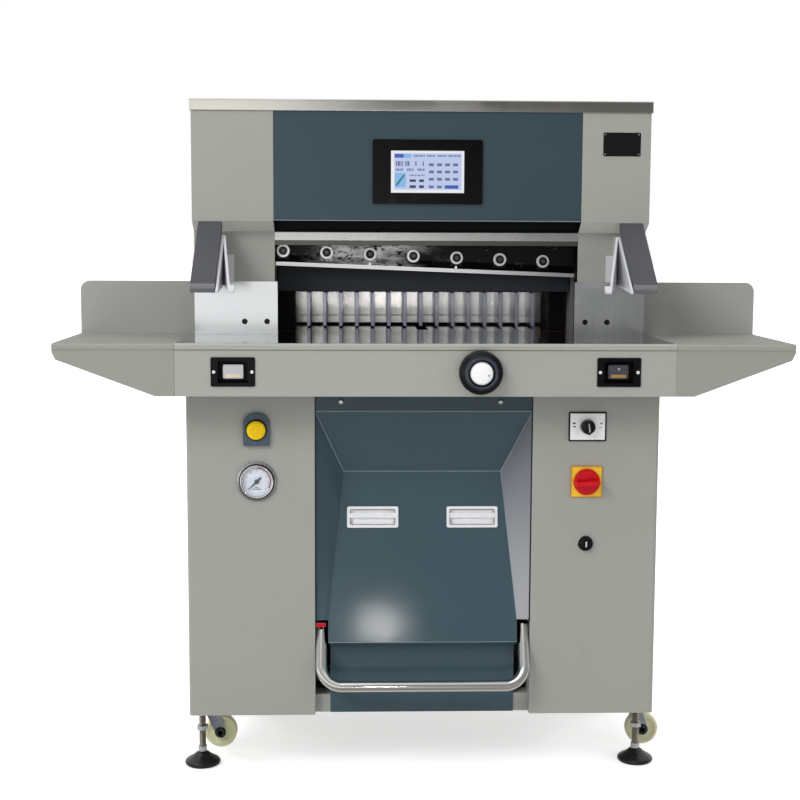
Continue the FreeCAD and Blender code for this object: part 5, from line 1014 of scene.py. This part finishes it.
def stop_button():
    dressed("button_shroud", "shroud_plastic", "shroud", "black", bevel=0.6,
            face=lambda middle, way: 1 if way.y < -0.9 and abs(middle.y - CONTROL_Y + 2) < 0.4 else 0)
    bm = bmesh.new()
    centre = control("stop_button")
    cap = [(0, 24), (11, 23.4), (16.5, 20.6), (19, 16.5), (19, 11), (7, 11), (7, -26), (0, -26)]
    turned(bm, centre, cap, 72, 0, 1.2)
    turned(bm, centre, [(11.2, 23.35), (12.1, 22.95), (12.1, 21), (11.2, 21)], 72, 2)
    turned(bm, centre, [(0, 23.99), (11, 23.45), (11, 22), (0, 22)], 72, 2)
    rebuilt("stop_button", bm, ["yellow", "black", "yellow_deep"], "yellow_plastic")


def pressure_gauge():
    centre = x, y, z = control("pressure_gauge")
    case = bmesh.new()
    # Flange, case, bright rim, body and dial, with their steps, finish and ease
    for profile, steps, finish, ease in (
            ([(33, 0), (41, 0), (41, 2), (37, 3), (33, 3)], 96, 0, 0.5),
            ([(33, 1), (36.6, 1), (36.4, 6), (35.2, 8.4), (33, 8.6)], 96, 1, 0.8),
            ([(31, 1), (33.6, 1), (33.8, 8.6), (32.8, 9), (31.6, 8.8), (31, 8)], 96, 2, 0.5),
            ([(31, 0.5), (33, 0.5), (33, 0), (31, 0), (31, -22), (3, -22), (3, 0.5)], 64, 1, 0.3),
            ([(2.6, 1), (30.8, 1), (30.8, 0.5), (2.6, 0.5)], 96, 3, 0)):
        turned(case, centre, profile, steps, finish, ease)
    arc_band(case, x, z, 26.2, 28.6, -30, 90, y - 1.2, y - 0.9, 4)
    arc_band(case, x, z, 27.2, 28.0, 96, 222, y - 1.2, y - 0.9, 5)
    block(case, (x - 8, y - 1.15, z - 17), (x + 8, y - 0.95, z - 14.6), 0.05, 5)
    block(case, (x - 4.5, y - 1.15, z - 13), (x + 4.5, y - 0.95, z - 11.4), 0.05, 5)
    turned(case, centre, [(0, 8), (30.9, 8), (30.9, 6.6), (0, 6.6)], 96, 6)
    kinds = ["steel_ring", "black", "chrome", "dial", "dial_red", "dial_mark", "clear"]
    rebuilt("pressure_gauge", case, kinds, "bright_chrome")
    first_mark = math.radians(-130)
    for name, count, turn, inner, outer, half in (("major", 9, 32.5, 20.5, 25.6, 0.42),
                                                  ("minor", 41, 6.5, 23.4, 25.6, 0.18)):
        tick = bmesh.new()
        prism(tick, "y", -1.2, -0.95, [(-half, inner), (half, inner), (half, outer), (-half, outer)], 0)
        copies("gauge_%s_marks" % name, tick, "dial_mark", "pressure_gauge", "bright_chrome", count, centre,
               first_turn=(0, first_mark, 0), turn=(0, math.radians(turn), 0))
    needle = bmesh.new()
    hub = [(0, 4.5), (3.6, 4.4), (4.5, 3.6), (4.5, 2.5), (2.3, 2.5), (2.3, -12), (0, -12)]
    turned(needle, centre, hub, 40)
    pointer = [(24, -0.5), (24, 0.5), (3, 2.0), (-10, 1.8), (-11.9, 1.2), (-11.9, -1.2), (-10, -1.8),
               (3, -2.0)]
    prism(needle, "y", y - 3.6, y - 3, leaned(pointer, x, z, 225), 0.1)
    rebuilt("gauge_needle", needle, ["black"], "black_steel")


def leaned(outline, x, z, angle):
    """An outline about the origin, turned by an angle in degrees and set at a place."""
    cos, sin = math.cos(math.radians(angle)), math.sin(math.radians(angle))
    return [(x + u * cos - v * sin, z + u * sin + v * cos) for u, v in outline]


def switches():
    plates = bmesh.new()
    x, y, z = control("selector_knob")
    panel(plates, x, z, 38.5, 30, y - 2.7, y, 2.4, 0.3, 0)
    panel(plates, x, z, 35.4, 26.9, y - 3, y - 2.6, 1.2, 0.1, 1)
    for left, right, foot, top in ((-30.5, -24.5, 5, 8.4), (-29.5, -24.8, -1.6, 1.6), (23.4, 29, -1.8, -0.6)):
        prism(plates, "y", y - 3.1, y - 2.9, rounded(x + left, x + right, z + foot, z + top, 0.5), 0, 2)
    prism(plates, "y", y - 3.1, y - 2.9, [(x + 24, z + 6.6), (x + 30, z + 4.4), (x + 30, z + 8.8)], 0, 2)
    x, y, z = control("main_switch_knob")
    panel(plates, x, z, 32, 32, y - 3.6, y, 2.4, 0.4, 3)
    panel(plates, x, z, 29.6, 29.6, y - 4, y - 3.5, 1.4, 0.1, 4)
    arc_band(plates, x, z, 28.2, 29.2, 60, 120, y - 4.1, y - 3.9, 3)
    # Ring, bright flange and sleeve of the lock
    for profile, finish, ease in (
            ([(11, 0), (15.6, 0), (15.6, 4), (14.6, 6), (13, 6), (12.6, 4.5), (11, 4.5)], 0, 0.4),
            ([(15.4, 0), (16.5, 0), (16.3, 1.4), (15.4, 1.6)], 5, 0.2),
            ([(9.3, 6), (12.6, 5.6), (12.6, 2), (11, 2), (11, -30), (9.3, -30)], 0, 0.3)):
        turned(plates, control("lock_knob"), profile, 64, finish, ease)
    kinds = ["black", "white", "plate_mark", "plate_orange", "plate_yellow", "chrome"]
    rebuilt("switch_plates", plates, kinds, "yellow_plastic")

    knob = bmesh.new()
    x, y, z = centre = control("selector_knob")
    turned(knob, centre, [(0, 20), (8, 20), (13.5, 18.4), (15.5, 4), (6, 4), (6, -26), (0, -26)], 72, 0, 1.6)
    panel(knob, x, z, 3, 14, y - 25.7, y - 8, 2.2, 0.8)
    mark = [(x - 0.6, z - 9), (x + 2.6, z - 8.2), (x + 0.2, z + 9.5), (x - 2.4, z + 8.6)]
    prism(knob, "y", y - 26, y - 25.5, mark, 0.1, 1)
    rebuilt("selector_knob", knob, ["black", "chrome"], "black_plastic")

    knob = bmesh.new()
    x, y, z = centre = control("main_switch_knob")
    turned(knob, centre, [(0, 14), (23.5, 14), (26.5, 12), (27.5, 5), (6, 5), (6, -26), (0, -26)], 80, 0, 1.6)
    prism(knob, "y", y - 30, y - 12, leaned(rounded(-25.4, 24.6, -5.4, 5.4, 4.5), x, z, 5), 2.0)
    rebuilt("main_switch_knob", knob, ["red"], "red_plastic")

    lock = bmesh.new()
    x, y, z = centre = control("lock_knob")
    turned(lock, centre, [(0, 7), (8.2, 7), (9.15, 6), (9.15, -28), (0, -28)], 56, 0, 0.5)
    panel(lock, x, z, 2.5, 8, y - 13.8, y - 6, 2, 0.5)
    panel(lock, x, z, 1.6, 6, y - 14, y - 13.5, 1.5, 0.1, 1)
    rebuilt("lock_knob", lock, ["black", "chrome"], "black_plastic")


# Apron controls

def cut_buttons():
    pan_front, screw_reach = box_of("cut_button_pans")[0].y, 37

    def sockets(bm):
        """The holes of the four screws that hold the pans."""
        for side in ("left", "right"):
            x, _, z = middle_of(side + "_cut_button")
            for reach in (-screw_reach, screw_reach):
                turned(bm, (x + reach, pan_front, z), [(0, 0.1), (1.0, 0.1), (1.0, -0.1), (0, -0.1)], 6, 2)

    dressed("cut_button_pans", "gloss_black_plastic", "pan", "white", "black", bevel=0.5, add=sockets,
            face=lambda middle, way: 1 if middle.y < pan_front + 1.1 else 0)
    # Both cut buttons are alike: the left one's pale plate and cream bar are painted light, the right one's
    # dark plate painted shade
    for side, plate, bar in (("left", "push_painted_light", "push_bar_painted_light"), ("right", "push_painted_shade", "gold")):
        x, _, z = middle_of(side + "_cut_button")
        front = box_of(side + "_cut_button")[0].y
        bm = bmesh.new()
        panel(bm, x, z, 20, 14, front + 0.2, front + 8, 3, 1.0)
        panel(bm, x, z - 8.25, 15, 3.25, front, front + 0.5, 1.4, 0.2, 1)
        # The grey spot on the right push: painted highlight
        if side == "right":
            turned(bm, (x + 1, front + 0.2, z + 6), [(0, 0.2), (2.6, 0.15), (2.6, -0.4), (0, -0.4)], 28, 2)
        turned(bm, (x, front + 8, z), [(0, 1), (5, 1), (5, -24), (0, -24)], 32, 2)
        rebuilt(side + "_cut_button", bm, [plate, bar, "zinc"], "white_plastic")


def handwheel():
    bm = bmesh.new()
    centre = middle_of("handwheel")
    centre.y = 0
    # Wheel, ring round the cap with its two rims, and the cap: steps, finish and ease
    for profile, steps, finish, ease in (
            ([(0, 594), (25, 594), (31, 592), (34, 591), (40, 587.4), (42.6, 584), (43, 581), (43, 573),
              (41.6, 569.6), (40, 569), (7, 569), (7, 522), (0, 522)], 96, 0, 1.2),
            ([(25.4, 592), (26.2, 600.5), (28, 603), (30, 603), (33.4, 592.4), (30, 590)], 96, 1, 0.8),
            ([(22.8, 592), (23.6, 598), (25, 598), (25.4, 592)], 96, 0, 0.3),
            ([(32.4, 592), (32.6, 596), (33.6, 596), (33.8, 592)], 96, 1, 0.3),
            ([(0, 605), (10, 604.8), (17, 603.8), (21, 601.6), (22.5, 597), (22.5, 592), (0, 592)],
             72, 2, 1.0)):
        turned(bm, centre, profile, steps, finish, ease)
    turned(bm, centre + Vector((13, 0, -3.5)), [(0, 605), (1.6, 604.9), (1.6, 603), (0, 603)], 20, 3)
    rebuilt("handwheel", bm, ["black", "wheel_ring", "white", "dial_mark"], "black_plastic")


# Feet and casters

def feet():
    upright, foot_x, front_y, back_y = (0, 0, 1), 463, -388, 76
    pads = bmesh.new()
    bell = [(0, 0), (33, 0), (36, 1.5), (37.5, 4.5), (37.3, 7.5), (35, 10.5), (30, 13.5), (23, 17.5),
            (17, 22), (13.5, 25.5), (11, 26.8), (7.4, 27), (7.4, 10), (0, 10)]
    stems = bmesh.new()
    turns, pitch = 79, 2
    thread = [(0, 10), (5.6, 10), (6.4, 11)]
    for turn in range(turns):
        foot = 11.5 + pitch * turn
        thread += [(6.3, foot), (6.98, foot + 0.7), (6.98, foot + 1.2), (6.3, foot + 1.9)]
    thread += [(6.4, 170.4), (5.8, 171), (0, 171)]
    for x in (-foot_x, foot_x):
        for y in (front_y, back_y):
            turned(pads, (x, y, 0), eased(bell, 1.5, 2), 72, axis=upright)
            turned(stems, (x, y, 0), thread, 32, axis=upright)
            for low, high, flats in ((75, 85, 21), (28, 40, 16.8)):
                prism(stems, "z", low, high, hexagon_outline(x, y, flats, math.pi / 6), 0.8, 1)
    rebuilt("levelling_pads", pads, ["rubber"], "black_plastic")
    rebuilt("levelling_stems", stems, ["stem", "zinc"], "zinc", hard=30)


def axle_ends(bm, wheel):
    """Washer and bolt head on both sides of a wheel."""
    x, y, z = middle_of(wheel)
    for side in (-1, 1):
        turned(bm, (x, y, z), [(5, 17), (12, 17), (12, 18.2), (5, 18.2)], 40, 1, 0.3, axis=(0, side, 0))
        low, high = sorted((y + side * 18, y + side * 21))
        prism(bm, "y", low, high, hexagon_outline(x, z, 15, 0.3), 0.5, 2)


def casters():
    def rear_ends(bm):
        for side in ("left", "right"):
            axle_ends(bm, "rear_%s_wheel" % side)

    kinds = ["fork_zinc_painted_shade", "black", "screw_dark"]
    dressed("caster_plates", "zinc", *kinds, bevel=0.6, add=rear_ends)
    for side in ("left", "right"):
        dressed("front_%s_fork" % side, "zinc", *kinds, bevel=0.6,
                add=lambda bm, side=side: axle_ends(bm, "front_%s_wheel" % side))
    tread = [(5.1, -13.5), (9, -13.5), (9, -10), (12, -10), (13, -9), (22, -9), (23, -10), (25.5, -10),
             (27, -12), (28.5, -12.5), (32, -12.5), (34.2, -11), (35, -8.5)]
    profile = tread + [(radius, -reach) for radius, reach in reversed(tread)]
    for node in ("front_left_wheel", "front_right_wheel", "rear_left_wheel", "rear_right_wheel"):
        bm = bmesh.new()
        turned(bm, middle_of(node), eased(profile, 0.6, 2), 72, axis=(0, 1, 0))
        rebuilt(node, bm, ["nylon"], "wheel_plastic")


covers()
knee_cover()
table_pieces()
knife_and_clamp()
inner_pieces()
touch_screen()
stop_button()
pressure_gauge()
switches()
cut_buttons()
handwheel()
feet()
casters()
pull_handles()
dressed("pedal", "bright_chrome", "chrome", bevel=0.3)


# Camera, lamps, floor and background

def photo_camera():
    """The photograph's camera, solved from the straight edges of the machine."""
    eye = Vector((-0.14215, -3.28989, 1.11045))
    yaw, pitch, roll = 0.033103, 0.113358, 0.004392
    ahead = Vector((math.sin(yaw) * math.cos(pitch), math.cos(yaw) * math.cos(pitch), -math.sin(pitch)))
    right = Vector((math.cos(yaw), -math.sin(yaw), 0))
    up = right.cross(ahead)
    leaned_right = right * math.cos(roll) + up * math.sin(roll)
    leaned_up = up * math.cos(roll) - right * math.sin(roll)
    data = bpy.data.cameras.new("photo_camera")
    data.lens, data.sensor_width = 63.22, 36
    camera = bpy.data.objects.new("photo_camera", data)
    turn = Matrix((leaned_right, leaned_up, -ahead)).transposed().to_4x4()
    camera.matrix_world = Matrix.Translation(eye) @ turn
    bpy.context.scene.collection.objects.link(camera)
    bpy.context.scene.camera = camera


def lamp(name, place, target, size, power, colour=(1, 1, 1), in_gloss=False):
    data = bpy.data.lights.new(name, "AREA")
    data.shape = "RECTANGLE"
    data.size, data.size_y = size
    data.energy = power
    data.color = colour
    obj = bpy.data.objects.new(name, data)
    obj.location = place
    obj.rotation_euler = (Vector(target) - Vector(place)).to_track_quat("-Z", "Y").to_euler()
    obj.visible_camera = False
    obj.visible_glossy = in_gloss
    obj.visible_diffuse = not in_gloss
    bpy.context.scene.collection.objects.link(obj)


def front_room(tree, across):
    """How bright the room in front is in mirrors, from left to right, at and below eye height."""
    return room_levels(tree, across, [
        (0.0, 0.8), (0.44, 0.95), (0.452, 0.5), (0.465, 0.38), (0.476, 0.53), (0.49, 0.6), (0.505, 0.7),
        (0.519, 1.0), (0.533, 0.82), (0.547, 0.5), (0.562, 0.42), (0.576, 0.32), (0.59, 0.22), (0.63, 0.2),
        (0.66, 0.17), (0.69, 0.12), (0.705, 0.26), (0.74, 0.15), (1.0, 0.15)])


def room_levels(tree, across, stops):
    """A level of light for each share of the way from left to right, stronger by a common factor."""
    ramp = tree.node("ShaderNodeValToRGB", {"stops": [(place, [level] * 3 + [1]) for place, level in stops]},
                     {0: across + 0.5})
    return tree.part(ramp) * 1.6


# The even light on everything, and how much the floor near the machine glows for the camera
SOFT_LIGHT, FLOOR_NEAR = 0.43, 0.55


def studio_floor():
    """A pale floor that goes over into the white background with the distance, in mirrors into the room."""
    mesh = bpy.data.meshes.new("studio_floor")
    reach = 60
    corners = [(-reach, -reach, 0), (reach, -reach, 0), (reach, reach, 0), (-reach, reach, 0)]
    mesh.from_pydata(corners, [], [(0, 1, 2, 3)])
    floor = bpy.data.objects.new("studio_floor", mesh)
    bpy.context.scene.collection.objects.link(floor)
    finish = Finish("pale_floor", {"Specular IOR Level": 0.0, "Roughness": 0.9, "Emission Strength": 1.0})
    seen, mirrored = finish.rays("Camera", "Glossy")
    cloud = finish.noise(0.6, 2)
    tone = finish.mix(cloud, (0.86, 0.86, 0.86, 1), (0.9, 0.9, 0.9, 1))
    in_front = (1 - finish.height(1).between(-0.64, -0.52)) * finish.height(1).between(-3.0, -2.2)
    tone = finish.mix(mirrored * in_front * 0.8, tone, (0.2, 0.17, 0.13, 1))
    away = finish.node("ShaderNodeVectorMath", {"operation": "LENGTH"}, {0: finish.place}, out="Value")
    far = mirrored * away.between(3.0, 8.0) * (1 - finish.height(1).between(-1.0, 1.0))
    tone = finish.mix(far, tone, (0, 0, 0, 1))
    lift = FLOOR_NEAR + (1.0 - FLOOR_NEAR) * away.between(1.0, 4.5)
    in_mirrors = far * front_room(finish, finish.height(0) / away)
    glow = finish.node("ShaderNodeVectorMath", {"operation": "SCALE"},
                       {0: (1, 1, 1), "Scale": seen * lift + in_mirrors})
    mesh.materials.append(finish.done(base_color=tone, emission_color=glow))


def white_studio():
    """White for the camera and through clear plastic, a soft even light for everything that is lit.

    In mirrors it is white behind. The room in front is brightest at the left and near the middle, darker
    to the right and above eye height, and has a dim even band higher up under a bright ceiling."""
    world = bpy.data.worlds.new("white_studio")
    world.use_nodes = True
    bpy.context.scene.world = world
    tree = Tree(world.node_tree)
    camera, mirror, through = tree.rays("Camera", "Glossy", "Transmission")
    way = tree.node("ShaderNodeTexCoord", out="Generated")
    across, along, up = [tree.part(way, axis) for axis in range(3)]
    above = room_levels(tree, across, [(0.0, 0.78), (0.455, 0.75), (0.472, 0.62), (0.49, 0.3),
                                       (0.519, 0.12), (0.547, 0.07), (0.61, 0.06), (0.66, 0.09), (1.0, 0.12)])
    higher = up.between(0.04, 0.07)
    front = front_room(tree, across) * (1 - higher) + above * higher
    band = up.between(0.12, 0.2) * (1 - up.between(0.6, 0.8))
    front = front * (1 - 0.85 * band) + 0.28 * band + up.between(0.6, 0.8) * 0.6
    behind = along.between(-0.1, 0.1)
    room = front * (1 - behind) + behind
    seen = (camera + through) > 0.5
    other = mirror * room + (1 - mirror) * SOFT_LIGHT
    strength = seen + (1 - seen) * other
    tree.fill(world.node_tree.nodes["Background"], {"Color": (1, 1, 1, 1), "Strength": strength})


photo_camera()
lamp("key_softbox", (-3.4, -4.0, 4.2), (0, 0, 0.8), (2.6, 2.2), 168)
lamp("right_softbox", (3.6, -3.4, 2.4), (0, 0, 0.8), (1.6, 2.4), 21)
lamp("top_softbox", (0.0, -0.6, 4.6), (0, 0, 0), (3.0, 2.4), 50)
lamp("right_back_softbox", (4.0, 2.8, 1.9), (0, 0, 0.8), (2.2, 2.2), 95)
lamp("left_back_softbox", (-4.0, 2.8, 1.9), (0, 0, 0.8), (2.2, 2.2), 75)
lamp("near_lamp", (-0.036, -3.28, 0.7), (-0.09, -0.47, 0.32), (0.12, 0.09), 1.3, (1.0, 0.97, 0.94),
     in_gloss=True)
studio_floor()
white_studio()

bpy.context.scene.view_settings.view_transform = "Standard"
